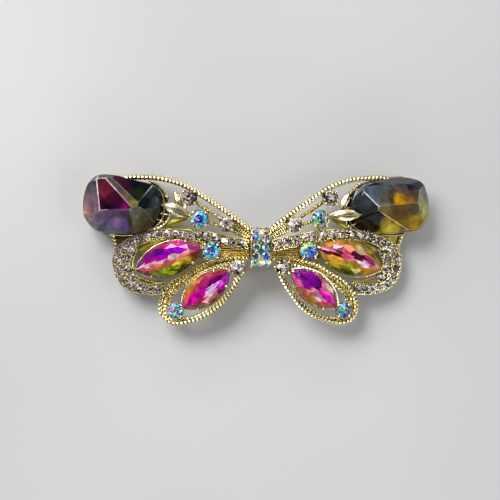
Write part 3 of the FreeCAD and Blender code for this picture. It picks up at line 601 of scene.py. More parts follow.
# The colours seen in each marquise stone. Each entry is how far out along the stone, from -1
# at its inner point to 1 at its outer one, how far up across it, from -1 to 1, and a colour.
# Near-white entries in these tables, such as (250, 205, 205), are painted highlights.
NAVETTE_ZONES = {
    "left_upper": [
        (0.37, 1.0, (150, 70, 110)), (0.07, 0.95, (190, 75, 110)), (-0.39, 0.95, (215, 55, 120)),
        (-0.72, 1.0, (200, 70, 85)), (0.62, 0.8, (120, 50, 90)),
        (0.74, 0.55, (105, 15, 90)), (0.44, 0.5, (140, 0, 150)), (0.22, 0.5, (105, 0, 160)),
        (-0.10, 0.34, (170, 0, 190)), (-0.43, 0.22, (155, 0, 205)), (-0.76, 0.22, (120, 0, 130)),
        (-0.15, 0.62, (205, 40, 150)), (-0.5, 0.6, (190, 20, 150)), (0.54, 0.22, (205, 0, 150)),
        (0.14, 0.12, (170, 0, 175)),
        (0.65, -0.02, (250, 190, 220)), (0.30, -0.02, (250, 180, 190)), (-0.18, -0.02, (250, 205, 205)),
        (-0.55, -0.0, (235, 150, 150)),
        (0.67, -0.3, (205, 85, 90)), (0.33, -0.28, (230, 120, 90)), (-0.05, -0.3, (225, 110, 100)),
        (-0.29, -0.25, (235, 140, 105)), (-0.59, -0.25, (225, 85, 55)), (-0.79, -0.4, (170, 40, 35)),
        (0.83, -0.85, (125, 45, 40)), (0.65, -0.8, (150, 65, 35)), (0.43, -0.75, (140, 140, 10)),
        (0.17, -0.53, (155, 155, 0)), (0.10, -0.79, (180, 180, 30)), (0.23, -0.96, (105, 140, 0)),
        (-0.10, -0.63, (85, 110, 0)), (-0.25, -0.54, (205, 195, 0)), (-0.43, -0.6, (190, 150, 15)),
        (-0.07, -0.98, (65, 90, 0)), (-0.34, -0.98, (60, 75, 5)), (-0.6, -0.83, (130, 75, 15)),
    ],
    "left_lower": [
        (-0.74, 0.69, (170, 35, 80)), (-0.55, 0.9, (195, 90, 70)), (-0.28, 0.82, (215, 85, 110)),
        (-0.01, 0.77, (220, 150, 90)), (0.31, 0.74, (200, 125, 55)), (0.6, 0.8, (215, 105, 45)),
        (-0.21, 0.4, (200, 45, 120)), (0.2, 0.42, (205, 60, 90)),
        (-0.57, 0.1, (85, 0, 85)), (-0.37, 0.1, (100, 0, 95)), (-0.84, 0.15, (120, 0, 120)),
        (-0.76, -0.6, (190, 0, 200)), (-0.44, -0.45, (220, 0, 205)), (-0.26, -0.25, (250, 195, 250)),
        (-0.03, -0.42, (250, 205, 240)), (0.04, 0.02, (205, 0, 170)), (0.37, 0.03, (200, 0, 150)),
        (0.7, 0.08, (220, 0, 155)), (0.76, 0.6, (220, 60, 110)), (0.28, -0.37, (215, 35, 120)),
        (0.1, -0.74, (215, 135, 105)), (-0.16, -0.77, (225, 115, 85)), (0.37, -0.83, (165, 95, 35)),
        (0.67, -0.95, (150, 65, 50)), (0.0, -1.0, (110, 70, 20)), (-0.4, -0.98, (150, 60, 80)),
    ],
    "right_upper": [
        (-0.88, 1.0, (165, 105, 20)), (-0.91, -0.5, (70, 20, 20)), (-0.73, 0.25, (225, 90, 140)),
        (-0.69, 0.79, (205, 130, 25)), (-0.55, 0.27, (230, 125, 155)), (-0.37, 0.53, (225, 115, 95)),
        (-0.23, 0.6, (235, 150, 115)), (-0.05, 0.78, (215, 160, 45)), (-0.42, 0.87, (215, 130, 35)),
        (0.24, 0.65, (208, 182, 140)), (0.33, 0.92, (190, 150, 55)), (0.62, 0.7, (175, 135, 30)),
        (-0.41, -0.03, (100, 0, 40)), (-0.20, 0.1, (205, 65, 110)), (-0.06, -0.02, (225, 120, 130)),
        (0.12, 0.2, (92, 0, 35)), (0.34, 0.27, (98, 0, 40)), (0.51, 0.23, (160, 45, 120)),
        (0.37, -0.08, (248, 215, 242)), (0.73, 0.04, (228, 128, 108)), (0.9, 0.0, (218, 135, 118)),
        (-0.67, -0.66, (220, 155, 55)), (-0.45, -0.41, (225, 165, 45)), (-0.15, -0.42, (225, 175, 35)),
        (0.15, -0.31, (200, 148, 15)), (-0.47, -0.94, (168, 155, 25)), (-0.2, -0.82, (118, 118, 0)),
        (-0.03, -0.56, (140, 150, 0)), (0.18, -0.84, (98, 100, 8)), (0.37, -0.92, (150, 128, 10)),
        (0.49, -0.49, (218, 150, 15)), (0.74, -0.82, (190, 128, 18)),
    ],
    "right_lower": [
        (-0.85, 0.0, (110, 0, 130)), (-0.75, -0.3, (180, 25, 165)), (-0.5, 0.52, (170, 0, 180)),
        (-0.34, -0.29, (150, 0, 172)), (-0.05, 0.28, (85, 0, 100)), (-0.26, 0.25, (120, 0, 150)),
        (-0.03, 1.0, (190, 100, 130)), (0.18, 0.96, (200, 158, 108)), (0.4, 0.8, (250, 238, 232)),
        (0.2, 0.33, (215, 108, 140)), (0.59, 0.98, (120, 68, 60)), (0.41, 0.03, (228, 15, 205)),
        (0.72, 0.3, (240, 55, 192)), (0.94, 0.0, (215, 55, 110)), (0.01, -0.33, (238, 150, 150)),
        (0.24, -0.36, (250, 185, 210)), (0.09, -0.76, (192, 130, 35)), (-0.11, -0.71, (218, 118, 78)),
        (0.5, -0.6, (222, 98, 88)), (0.79, -0.96, (170, 78, 58)), (-0.6, -0.6, (218, 90, 150)),
        (0.6, 0.5, (205, 85, 110)), (-0.35, -0.95, (195, 120, 60)),
    ],
}
FAN_STEPS = (-0.75, -0.45, -0.15, 0.15, 0.45, 0.75)
FAN_REACH = 0.55
NAVETTE_CROWN = 1.45
NAVETTE_DEPTH = 1.5


def build_navette_stone(shape, side, length, width, zones):
    """A marquise whose crown is split by facets that fan out from both its points."""
    cut_stone(shape, lambda angle: lens_point(angle, length, width),
              lambda angle: lens_point(angle, length * 0.74, width * 0.60),
              NAVETTE_GIRDLE, NAVETTE_CROWN, NAVETTE_DEPTH, 12)
    for end in (-1, 1):
        tip = Vector((end * length * FAN_REACH, 0, 0))
        for step in FAN_STEPS:
            ray = Vector((0, step * width / 2, 0)) - tip
            slice_through(shape, tip, ray.cross(UP).normalized())
    for face in shape.faces:
        centre = face.calc_center_median()
        along = side * centre.x / (length / 2)
        # The stone narrows towards its points roughly as 1 - along * along does.
        across = centre.y / (width / 2 * max(1 - along * along, 0.08))
        nearest = min(zones, key=lambda zone: 1.6 * (zone[0] - along) ** 2 + (zone[1] - across) ** 2)
        paint(shape, face, uneven(srgb(*nearest[2]), NAVETTE_SPREAD))


# A nugget is a convex stone: an outline, and facets that each face a compass direction, lean
# from the vertical and lie so far from its centre. Each facet has spots of colour, given as
# (out, up, colour), that run into each other across it.
NUGGETS = {
    "left": {
        "centre": (28.9, 9.7),
        "outline": [
            (20.8, 12.2), (21.8, 13.7), (26.2, 14.6), (30.0, 15.7), (33.9, 15.8), (36.2, 13.0),
            (37.0, 8.9), (36.2, 5.6), (32.8, 3.3), (26.3, 3.4), (23.2, 4.2), (21.4, 6.2), (20.5, 9.0),
        ],
        "facets": [
            (150, 3, 5.35, [
                (32.6, 13.9, (92, 34, 48)), (31.9, 12.1, (112, 34, 54)), (30.8, 10.1, (64, 16, 38)),
                (32.4, 9.1, (54, 8, 36)), (30.0, 9.1, (44, 8, 56)), (27.5, 8.8, (116, 24, 90)),
                (28.8, 10.1, (54, 14, 44)), (31.0, 9.0, (20, 6, 24)), (28.5, 9.3, (58, 12, 54)),
            ]),
            (49, 25, 5.56, [
                (31.1, 14.1, (98, 82, 90)), (29.0, 12.1, (92, 74, 72)), (26.9, 10.1, (112, 92, 72)),
                (25.6, 9.4, (138, 134, 50)),
            ]),
            (48, 42, 5.5, [
                (29.5, 14.4, (78, 36, 60)), (27.5, 13.4, (54, 26, 46)), (25.6, 13.6, (18, 22, 30)),
                (24.9, 11.9, (34, 48, 24)), (25.6, 10.9, (30, 36, 28)), (23.1, 13.1, (18, 28, 34)),
                (26.9, 11.6, (64, 30, 52)),
            ]),
            (9, 53, 6.2, [
                (22.7, 11.9, (50, 68, 74)), (23.8, 10.1, (24, 38, 44)), (21.4, 11.4, (38, 56, 64)),
                (21.2, 9.6, (58, 74, 80)),
            ]),
            (347, 56, 6.57, [
                (22.5, 8.1, (72, 80, 70)), (23.8, 7.6, (88, 92, 74)), (21.4, 6.8, (56, 56, 46)),
            ]),
            (311, 47, 5.78, [
                (25.5, 7.6, (128, 134, 114)), (24.2, 6.3, (100, 102, 70)), (22.9, 5.1, (78, 72, 38)),
            ]),
            (268, 38, 5.1, [
                (32.3, 7.1, (126, 106, 138)), (30.4, 6.8, (114, 94, 130)), (28.1, 7.1, (100, 78, 106)),
                (27.8, 5.1, (100, 78, 146)), (31.2, 4.6, (96, 100, 128)), (33.8, 5.1, (120, 110, 130)),
                (26.5, 5.6, (60, 60, 42)), (29.1, 5.6, (134, 112, 166)),
            ]),
            (184, 36, 6.5, [
                (35.8, 12.6, (108, 92, 104)), (36.6, 10.1, (132, 110, 112)), (36.1, 8.4, (200, 138, 124)),
                (34.8, 9.4, (120, 88, 110)), (35.1, 13.1, (92, 82, 94)), (35.6, 6.6, (142, 126, 148)),
                (34.6, 14.1, (58, 52, 60)),
            ]),
            (226, 50, 6.9, [(35.6, 7.0, (150, 122, 130)), (34.6, 4.8, (122, 114, 132))]),
            (90, 66, 6.9, [(33.0, 15.4, (66, 54, 64)), (27.0, 14.9, (46, 30, 40))]),
            (0, 68, 8.0, [(21.0, 10.0, (40, 52, 58)), (21.0, 7.0, (50, 52, 40))]),
            (180, 72, 8.6, [(36.6, 10.0, (110, 98, 104)), (36.3, 7.0, (120, 112, 124))]),
            (270, 66, 6.0, [(32.0, 3.8, (96, 104, 122)), (25.0, 3.8, (70, 66, 50))]),
            (135, 62, 8.3, [(35.0, 14.9, (80, 74, 82))]),
        ],
    },
    "right": {
        "centre": (28.3, 9.6),
        "outline": [
            (19.4, 11.4), (21.2, 13.8), (26.6, 15.1), (31.0, 15.7), (34.4, 14.4), (36.3, 10.6),
            (36.3, 7.6), (34.8, 4.2), (29.2, 3.6), (22.6, 3.9), (19.8, 5.6), (18.9, 9.0),
        ],
        "facets": [
            (100, 5, 5.3, [
                (22.0, 13.0, (84, 98, 112)), (22.8, 11.0, (92, 104, 116)), (25.0, 10.4, (92, 98, 92)),
                (25.8, 13.2, (84, 92, 98)), (24.9, 9.4, (122, 128, 104)), (28.0, 12.7, (92, 78, 66)),
                (29.8, 11.9, (98, 78, 60)), (27.6, 10.9, (240, 180, 20)), (28.6, 10.2, (205, 140, 8)),
                (29.4, 13.0, (80, 68, 62)), (26.6, 11.8, (84, 80, 70)),
                (26.6, 10.7, (60, 52, 36)), (30.6, 10.4, (140, 104, 44)), (30.4, 13.4, (30, 38, 66)),
                (31.6, 11.4, (84, 70, 60)), (28.8, 14.0, (52, 50, 60)),
            ]),
            (275, 25, 4.82, [
                (25.0, 8.3, (120, 104, 62)), (27.4, 8.2, (98, 70, 26)), (29.8, 8.4, (104, 74, 32)),
                (31.4, 8.6, (92, 78, 48)), (30.4, 6.6, (150, 116, 20)), (28.4, 6.6, (128, 92, 16)),
                (32.0, 6.0, (168, 134, 24)), (26.6, 7.2, (110, 84, 30)),
            ]),
            (254, 50, 5.12, [
                (25.6, 6.0, (200, 160, 8)), (26.4, 5.4, (214, 178, 4)), (27.4, 4.9, (255, 238, 0)),
                (28.6, 4.4, (240, 212, 4)), (27.6, 5.9, (176, 140, 14)), (30.6, 4.4, (126, 100, 48)),
                (24.4, 6.2, (12, 9, 4)), (24.6, 5.0, (16, 12, 3)), (23.4, 5.6, (7, 6, 5)),
                (22.4, 6.6, (9, 8, 7)), (21.2, 6.6, (14, 14, 12)), (23.2, 7.4, (18, 16, 12)),
                (22.6, 4.6, (7, 6, 4)), (29.6, 5.2, (140, 112, 40)), (24.6, 7.2, (20, 17, 10)),
            ]),
            (221, 40, 6.55, [
                (21.4, 9.4, (56, 66, 74)), (22.6, 8.4, (34, 38, 38)), (21.0, 8.0, (32, 38, 40)),
                (20.6, 10.6, (52, 62, 74)), (22.4, 7.4, (16, 16, 14)), (20.2, 7.0, (18, 20, 20)),
            ]),
            (185, 45, 9.0, [
                (21.4, 11.4, (88, 100, 118)), (20.6, 10.2, (50, 60, 74)), (20.4, 8.6, (42, 50, 60)),
                (21.8, 9.6, (66, 78, 90)),
            ]),
            (0, 45, 6.6, [
                (33.4, 10.4, (178, 174, 108)), (34.6, 8.4, (200, 198, 88)), (34.2, 6.6, (186, 178, 56)),
                (33.4, 8.0, (146, 136, 84)), (34.6, 11.4, (120, 124, 104)),
            ]),
            (60, 42, 7.0, [
                (31.6, 14.1, (14, 22, 50)), (33.2, 12.9, (26, 40, 50)), (34.4, 12.2, (58, 68, 66)),
                (32.6, 11.9, (38, 42, 40)), (30.6, 14.6, (22, 28, 38)),
            ]),
            (100, 45, 6.8, [(24.0, 14.2, (34, 38, 42)), (28.0, 15.0, (28, 28, 30)),
                            (31.0, 15.2, (18, 24, 36))]),
            (180, 68, 9.2, [(19.4, 10.0, (44, 54, 64)), (19.8, 7.0, (30, 34, 36))]),
            (90, 66, 5.9, [(24.0, 14.6, (32, 38, 44)), (30.0, 15.4, (28, 34, 42))]),
            (0, 68, 8.0, [(36.0, 10.0, (126, 130, 108)), (35.6, 6.0, (150, 150, 90))]),
            (270, 66, 6.0, [(24.0, 3.9, (20, 16, 8)), (28.0, 3.8, (150, 124, 10)),
                            (33.0, 3.9, (110, 92, 50))]),
            (315, 60, 7.6, [(33.6, 5.2, (172, 160, 60)), (34.4, 6.4, (160, 156, 70))]),
        ],
    },
}
NUGGET_FLOOR = -0.2
NUGGET_HEIGHT = 8.8
NUGGET_HEART_LEVEL = 2.5
SHOULDER_ROUNDING = 0.9
RIDGE_WEAR = 0.14
RIDGE_ANGLE = math.radians(7)
# What a face along a worn ridge bears in place of its facet's number. Only these faces carry the painted
# highlights.
WORN = -1
# The stone is cut into a fine grid, so that its colours can change from corner to corner.
GRADIENT_STEP = 0.4
GRADIENT_STEPS = 24

# Bright lines where a nugget's edges catch the light, as (start, end, strength, colour).
GLINTS = {
    "left": [
        ((33.4, 14.9), (33.0, 8.6), 1.0, (250, 240, 245)),
        ((31.9, 15.3), (29.0, 12.2), 0.9, (245, 225, 230)),
        ((29.0, 12.2), (26.1, 9.1), 0.6, (215, 170, 180)),
        ((33.0, 8.6), (31.4, 8.5), 0.8, (240, 210, 220)),
        ((30.8, 8.5), (26.1, 8.3), 0.3, (190, 120, 160)),
        ((30.2, 14.9), (24.5, 9.6), 0.4, (190, 185, 160)),
        ((24.0, 9.2), (22.4, 13.2), 0.9, (225, 235, 240)),
        ((24.1, 9.0), (21.5, 5.1), 0.35, (160, 165, 135)),
        ((26.0, 8.2), (22.8, 4.4), 0.45, (190, 190, 140)),
    ],
    "right": [
        ((19.8, 12.7), (23.6, 9.1), 1.0, (245, 247, 255)),
        ((23.9, 9.2), (32.0, 10.0), 0.15, (150, 110, 60)),
        ((23.4, 8.4), (24.6, 7.7), 0.3, (170, 150, 90)), ((24.8, 7.6), (31.8, 3.9), 0.9, (250, 222, 110)),
        ((31.8, 3.9), (34.4, 5.6), 0.9, (245, 215, 90)),
        ((31.2, 10.6), (31.2, 12.6), 0.9, (235, 215, 180)),
    ],
}
GLINT_REACH = 0.7


def nearness(place, start, end):
    """How near a place is to a line in plan: 1 on it, 0 well away from it."""
    line, arm = Vector(end) - Vector(start), Vector(place) - Vector(start)
    share = max(0.0, min(1.0, arm.dot(line) / line.length_squared))
    return max(0.0, 1 - (arm - line * share).length / GLINT_REACH)


def blend_spots(spots, out, up):
    """The colour at a place on a nugget, drawn most from the nearest spots."""
    weights = [1.0 / ((spot[0] - out) ** 2 + (spot[1] - up) ** 2 + 0.1) ** 2.5 for spot in spots]
    total = sum(weights)
    return tuple(sum(w * srgb(*spot[2])[i] for w, spot in zip(weights, spots)) / total for i in range(3))


def soften(corners):
    """An outline with its corners cut off, and cut again."""
    for _ in range(2):
        cut = []
        for start, end in zip(corners, corners[1:] + corners[:1]):
            cut += [start.lerp(end, 0.25), start.lerp(end, 0.75)]
        corners = cut
    return corners


def nugget_solid(which, side, middle):
    """The outline made solid and every facet cut off it. Each facet's faces bear its number."""
    shape = new_shape()
    mark = shape.faces.layers.int.new("facet")
    outline = soften([Vector((side * out, up)) for out, up in NUGGETS[which]["outline"]])
    plate(shape, outline, NUGGET_FLOOR, NUGGET_FLOOR + NUGGET_HEIGHT)
    for number, (compass, lean, reach, _) in enumerate(NUGGETS[which]["facets"], 1):
        heading, tilt = math.radians(compass), math.radians(lean)
        normal = Vector((math.cos(heading) * math.sin(tilt), math.sin(heading) * math.sin(tilt),
                         math.cos(tilt)))
        slice_through(shape, middle + normal * reach, normal, clear=True)
        rim = [edge for edge in shape.edges if edge.is_boundary]
        if rim:
            for face in bmesh.ops.contextual_create(shape, geom=rim)["faces"]:
                face[mark] = number
    bmesh.ops.recalc_face_normals(shape, faces=shape.faces)
    return shape, mark


def wear_edges(shape, mark):
    """Round the shoulder above the upright sides, then wear the ridges between the facets."""
    shoulder = [edge for edge in shape.edges
                if sum(abs(face.normal.z) < 0.1 for face in edge.link_faces) == 1]
    bmesh.ops.bevel(shape, geom=shoulder, offset=SHOULDER_ROUNDING, segments=4, profile=0.5,
                    affect="EDGES", clamp_overlap=True)
    bmesh.ops.recalc_face_normals(shape, faces=shape.faces)
    ridges = [edge for edge in shape.edges if edge.calc_face_angle(0) > RIDGE_ANGLE
              and min(face.normal.z for face in edge.link_faces) > 0.15]
    worn = bmesh.ops.bevel(shape, geom=ridges, offset=RIDGE_WEAR, segments=2, profile=0.5,
                           affect="EDGES", clamp_overlap=False)
    for face in worn["faces"]:
        face[mark] = WORN


def build_nugget(which, side):
    """A faceted stone with worn edges, colour in its depth, and painted highlights on its ridges."""
    facts = NUGGETS[which]
    middle = Vector((side * facts["centre"][0], facts["centre"][1], NUGGET_HEART_LEVEL))
    shape, mark = nugget_solid(which, side, middle)
    wear_edges(shape, mark)
    for step in range(-GRADIENT_STEPS, GRADIENT_STEPS + 1):
        slice_through(shape, middle + Vector((step * GRADIENT_STEP, 0, 0)), Vector((1, 0, 0)))
        slice_through(shape, middle + Vector((0, step * GRADIENT_STEP, 0)), Vector((0, 1, 0)))
    every_spot = [spot for entry in facts["facets"] for spot in entry[3]]
    layer = shape.loops.layers.float_color["tint"]
    for face in shape.faces:
        number = face[mark]
        spots = facts["facets"][number - 1][3] if number > 0 else every_spot
        glints = GLINTS[which] if number == WORN else []
        for loop in face.loops:
            place = (side * loop.vert.co.x, loop.vert.co.y)
            colour = blend_spots(spots, *place)
            # Painted highlights: worn ridge faces near a glint line are blended towards its bright
            # colour.
            for start, end, strength, shine in glints:
                share = strength * nearness(place, start, end)
                colour = tuple(a * (1 - share) + b * share for a, b in zip(colour, srgb(*shine)))
            loop[layer] = (*colour, 1.0)
    finish_on_wing(which, "nugget_stone", shape, NUGGET_GLASS, "nugget", 28)


# ---- pieces of one wing ----

# Ropes of the forewing, as (path, level, width).
FOREWING_ROPES = [
    (FOREWING_EDGE, 0.75, 1.3), (WIRE_TO_OUTER_STONE, 0.75, 1.0), (WIRE_TO_MIDDLE_STONE, 0.65, 0.9),
]
# The grains on the root plate lie in rows. Every other row is shifted, and all of them climb
# from column to column.
GRAIN_ROWS, GRAIN_COLUMNS = 9, 12
GRAIN_PITCH = 0.45
GRAIN_SHIFT = 0.22
GRAIN_CLIMB = 0.27
GRAIN_RADIUS = 0.27


def inside(spot, corners, margin):
    """Whether a place lies inside a convex outline by more than a margin."""
    middle = sum(corners, Vector()) / len(corners)
    for start, end in zip(corners, corners[1:] + corners[:1]):
        outward = (end - start).cross(UP).normalized()
        if outward.dot(middle - start) > 0:
            outward.negate()
        if outward.dot(spot - start) > -margin:
            return False
    return True


def build_forewing_frame(which, side):
    """Ropes along the wing's edge and out to its stones, and a grained plate at its root."""
    shape = new_shape()
    for points, level, width in FOREWING_ROPES:
        rope(shape, wing_path(side, points, level), width)
    sweep(shape, wing_path(side, POST_TO_LOOP, 0.6), circle_profile(0.35))
    plate(shape, [(side * out, up) for out, up in ROOT_PLATE], 0.0, PLATE_THICKNESS)
    corners = [Vector((side * out, up, 0)) for out, up in ROOT_PLATE]
    for row in range(GRAIN_ROWS):
        for column in range(GRAIN_COLUMNS):
            out = 2.2 + GRAIN_PITCH * column + GRAIN_SHIFT * (row % 2)
            up = 1.9 + GRAIN_PITCH * row + GRAIN_CLIMB * column
            spot = Vector((side * out, up, 0.6))
            if inside(spot, corners, 0.25):
                bead(shape, spot + UP * chance.uniform(-0.05, 0.12), GRAIN_RADIUS)
    finish_on_wing(which, "forewing_wires", shape, BRIGHT_GOLD, "forewing_frame")


def build_corner(which, side):
    """A rope up the outer corner, with a bright rim over a plate and its three beads, the plate painted
    in shade.
    """
    shape = new_shape()
    rope(shape, wing_path(side, OUTER_CORNER, 0.7), 1.0)
    sweep(shape, wing_path(side, CORNER_RIM, 1.1), circle_profile(0.22))
    finish_on_wing(which, "corner_rope", shape, BRIGHT_GOLD, "corner_bracket")
    shape = new_shape()
    plate(shape, [(side * out, up) for out, up in CORNER_PLATE], 0.0, PLATE_THICKNESS)
    for out, up in ((27.0, 3.2), (28.3, 2.6), (29.4, 3.2)):
        bead(shape, Vector((side * out, up, PLATE_THICKNESS)), 0.5, 0.6)
    # The plate is coloured as painted shade under the nugget, darker on the left than on the right.
    finish_on_wing(which, "corner_plate", shape, SHADOW_DARK_GOLD if which == "left" else OLIVE_GOLD)


STONE_PITCH = 2.08
PAVE_RADIUS, PAVE_CROWN, PAVE_DEPTH = 0.93, 0.4, 0.7
PAVE_LEAN = 0.15
ROW_STEP = 0.1
# The loop's rows of small stones, each with how far from its path's ends the row stops.
LOOP_ROWS = ((LOOP_MIDDLE, 1.1), (LOOP_INNER_ROW, 0.2))
# Sections, as (across, height) points.
CHANNEL_SECTION = [
    (-1.2, 0.1), (1.2, 0.1), (1.2, 1.35), (0.95, 1.5), (0.85, 1.2), (-0.85, 1.2), (-0.95, 1.5),
    (-1.2, 1.35),
]
BEADING_SECTION = [(-0.5, -0.4), (0.5, -0.4), (0.45, 0.3), (-0.45, 0.3)]
# The lines of grains beside the stones and on the lips, as (offset, rise, radius, where along
# each stone's share of the row).
GRAIN_LINES = [(0.66, 0.1, 0.25, (-0.5, 0.5)), (1.06, -0.12, 0.24, (-0.375, -0.125, 0.125, 0.375))]


def loop_rows(side):
    """Where the small stones of the loop lie: its long row, then the short inner row."""
    rows = []
    for points, spare in LOOP_ROWS:
        path = resample(wing_path(side, points, LOOP_LEVEL), ROW_STEP)
        skip = round(spare / ROW_STEP)
        rows.append(resample(path[skip:len(path) - skip], STONE_PITCH))
    return rows


def set_grains(shape, place, heading):
    """The grains that hold one small stone: some each side, some on the lips, some on its edge."""
    across = heading.cross(UP).normalized()
    for edge in (-1, 1):
        for offset, rise, radius, shares in GRAIN_LINES:
            for share in shares:
                along = place + heading * (STONE_PITCH * share)
                bead(shape, along + across * (offset * edge) + UP * rise, radius)
    for grain in range(8):
        turn = math.radians(45 * grain + chance.uniform(-15, 15))
        arm = heading * math.cos(turn) + across * math.sin(turn)
        bead(shape, place + arm * 0.9 + UP * chance.uniform(0.05, 0.2), chance.uniform(0.12, 0.2))


def build_loop(which, side):
    """A channel with a beaded lip each side and grains round its stones, and a dull wall within."""
    shape = new_shape()
    for points, _ in LOOP_ROWS:
        sweep(shape, wing_path(side, points, 0.0), CHANNEL_SECTION)
    for row in loop_rows(side):
        for place, heading in zip(row, directions(row)):
            set_grains(shape, place, heading)
    beading(shape, wing_path(side, LOOP_BEADING, 1.0), 0.3, 0.56)
    sweep(shape, wing_path(side, LOOP_BEADING, 0.5), BEADING_SECTION)
    finish_on_wing(which, "loop_channel", shape, BRIGHT_GOLD, "pave_channel")
    shape = new_shape()
    rise = -side * 0.5
    wall = [(-0.75, 0.15), (0.75, 0.15), (0.72, 0.9 + rise), (0.0, 1.0), (-0.72, 0.9 - rise)]
    sweep(shape, wing_path(side, LOOP_WALL, 0.0), wall)
    finish_on_wing(which, "loop_wall", shape, OLIVE_GOLD)


def build_loop_stones(which, side):
    """Small stones, each leaning a little its own way."""
    shape = new_shape()
    for row in loop_rows(side):
        for place in row:
            lean = Matrix.Rotation(chance.uniform(-PAVE_LEAN, PAVE_LEAN), 4, "X")
            lean @= Matrix.Rotation(chance.uniform(-PAVE_LEAN, PAVE_LEAN), 4, "Y")
            lean @= Matrix.Rotation(chance.uniform(0, 6), 4, "Z")
            round_stone(shape, Matrix.Translation(place) @ lean, PAVE_RADIUS, smoky_rim(), SMOKE_HEART,
                        PAVE_CROWN, PAVE_DEPTH)
    finish_on_wing(which, "loop_crystals", shape, SMALL_CRYSTAL, "pave_stones", 0)


SHOULDER_RIDGES = 5
SHOULDER_WIDTH = 2.3
RIDGE_STEPS = 6
# The seat's section, as (radius, level).
STONE_SEAT = [(1.2, 0.0), (2.0, 0.0), (2.05, 0.4), (1.9, 0.58), (1.2, 0.58)]


def build_shoulder(which, side):
    """A plate with grooves that run out from the body, and a seat for the middle stone."""
    shape = new_shape()
    half = SHOULDER_WIDTH / 2
    profile = [(-half, 0.1), (-half, 0.8)]
    for ridge in range(SHOULDER_RIDGES):
        for step in range(1, RIDGE_STEPS + 1):
            share = (ridge + step / RIDGE_STEPS) / SHOULDER_RIDGES
            height = 0.78 + 0.34 * math.sin(math.pi * step / RIDGE_STEPS)
            profile.append((SHOULDER_WIDTH * (share - 0.5), height))
    profile += [(half, 0.8), (half, 0.1)]
    start, end = Vector((side * 2.2, -0.4, 0)), Vector((side * 8.4, -0.35, 0))
    sweep(shape, [start.lerp(end, i / 8) for i in range(9)], profile)
    out, up, _ = ROUND_STONES["aurora_middle"]
    lathe(shape, Vector((side * out, up, 0)), STONE_SEAT)
    finish_on_wing(which, "grooved_plate", shape, WARM_GOLD, "shoulder_plate")


BAND_STEPS = 150
# The band's section, as (share of the way from its outer edge to its inner one, level).
BAND_SECTION = [(0.0, 0.05), (1.0, 0.05), (1.0, 0.6), (0.75, 0.42), (0.25, 0.42), (0.0, 0.6)]
BAND_WIRE_LEVEL = 0.85
# The band's own row of beads starts this many steps along it.
BAND_BEADS_FROM = 70


def even_path(side, points):
    """A path round the hindwing in equal steps, as many for its outer edge as its inner one."""
    path = resample(wing_path(side, points, 0.0), 0.3)
    return resample(path, sum((b - a).length for a, b in zip(path, path[1:])) / BAND_STEPS)


def build_hindwing(which, side):
    """A recessed band between two twisted wires, wide at its outer end and narrow at the body."""
    outer, inner = even_path(side, HINDWING_OUTER), even_path(side, HINDWING_INNER)
    shape = new_shape()
    skin(shape, [[far.lerp(near, share) + UP * level for share, level in BAND_SECTION]
                 for far, near in zip(outer, inner)])
    finish_on_wing(which, "hindwing_band", shape, HAMMERED_GOLD, "hindwing_frame")
    shape = new_shape()
    rope(shape, [place + UP * BAND_WIRE_LEVEL for place in outer], 1.05)
    inner_beads = zip(outer[BAND_BEADS_FROM:], inner[BAND_BEADS_FROM:])
    beading(shape, [far.lerp(near, 0.62) + UP * 0.5 for far, near in inner_beads], 0.22, 0.5)
    rope(shape, [place + UP * BAND_WIRE_LEVEL for place in inner], 0.85)
    finish_on_wing(which, "hindwing_wires", shape, BRIGHT_GOLD)


ROUND_CROWN, ROUND_DEPTH = 0.6, 1.2
ROUND_CLAW_WIDTHS = (0.26, 0.28, 0.27, 0.16)


def round_setting(shape, centre, radius):
    """A cup turned to fit the stone, with four claws over its edge."""
    lathe(shape, centre, [(radius * 0.5, CUP_LEVEL), (radius * 0.8, CUP_LEVEL), (radius + 0.12, 1.5),
                          (radius + 0.22, GIRDLE_LEVEL - 0.1), (radius + 0.12, GIRDLE_LEVEL + 0.02),
                          (radius * 0.93, GIRDLE_LEVEL - 0.15), (radius * 0.5, 1.2)], 28)
    reaches = [(radius + 0.1, CUP_LEVEL), (radius + 0.2, 1.6), (radius + 0.14, GIRDLE_LEVEL + 0.2),
               (radius - 0.15, GIRDLE_LEVEL + 0.42)]
    for number in range(4):
        turn = math.radians(45 + 90 * number)
        arm = Vector((math.cos(turn), math.sin(turn), 0))
        path = [centre + arm * reach + UP * level for reach, level in reaches]
        claw(shape, path, ROUND_CLAW_WIDTHS, arm.cross(UP), (arm + UP).normalized())
        bead(shape, path[-1], 0.2)


def build_round_settings(which, side):
    """Each round stone in its cup, held by four claws."""
    for stone_name, (out, up, diameter) in ROUND_STONES.items():
        colour, position = stone_name.split("_")
        centre = Vector((side * out, up, 0))
        radius = diameter / 2
        shape = new_shape()
        round_setting(shape, centre, radius)
        finish_on_wing(which, f"{colour}_setting_{position}", shape, BRIGHT_GOLD,
                       f"{colour}_cup_{position}")
        shape = new_shape()
        if colour == "aurora":
            rim, heart = (words.split() for words in AURORA[f"{which}_{position}"])
        else:
            rim, heart = smoky_rim(), SMOKE
        round_stone(shape, Matrix.Translation(centre + UP * GIRDLE_LEVEL), radius, rim, heart,
                    ROUND_CROWN, ROUND_DEPTH)
        finish_on_wing(which, f"{colour}_crystal_{position}", shape, SMALL_CRYSTAL,
                       f"{colour}_stone_{position}",
                       0)


# A marquise cup's section, as (how far it stands out from the stone, level), from its floor
# up its outside and down within.
NAVETTE_CUP = [
    (-1.2, CUP_LEVEL), (-0.2, CUP_LEVEL), (0.08, 1.6), (0.12, NAVETTE_GIRDLE - 0.4),
    (0.1, NAVETTE_GIRDLE - 0.14), (-0.04, NAVETTE_GIRDLE - 0.12), (-0.25, NAVETTE_GIRDLE - 0.4),
    (-1.6, 1.2),
]
NAVETTE_CLAW_ANGLES = (0, 180, 52, 128, 232, 308)
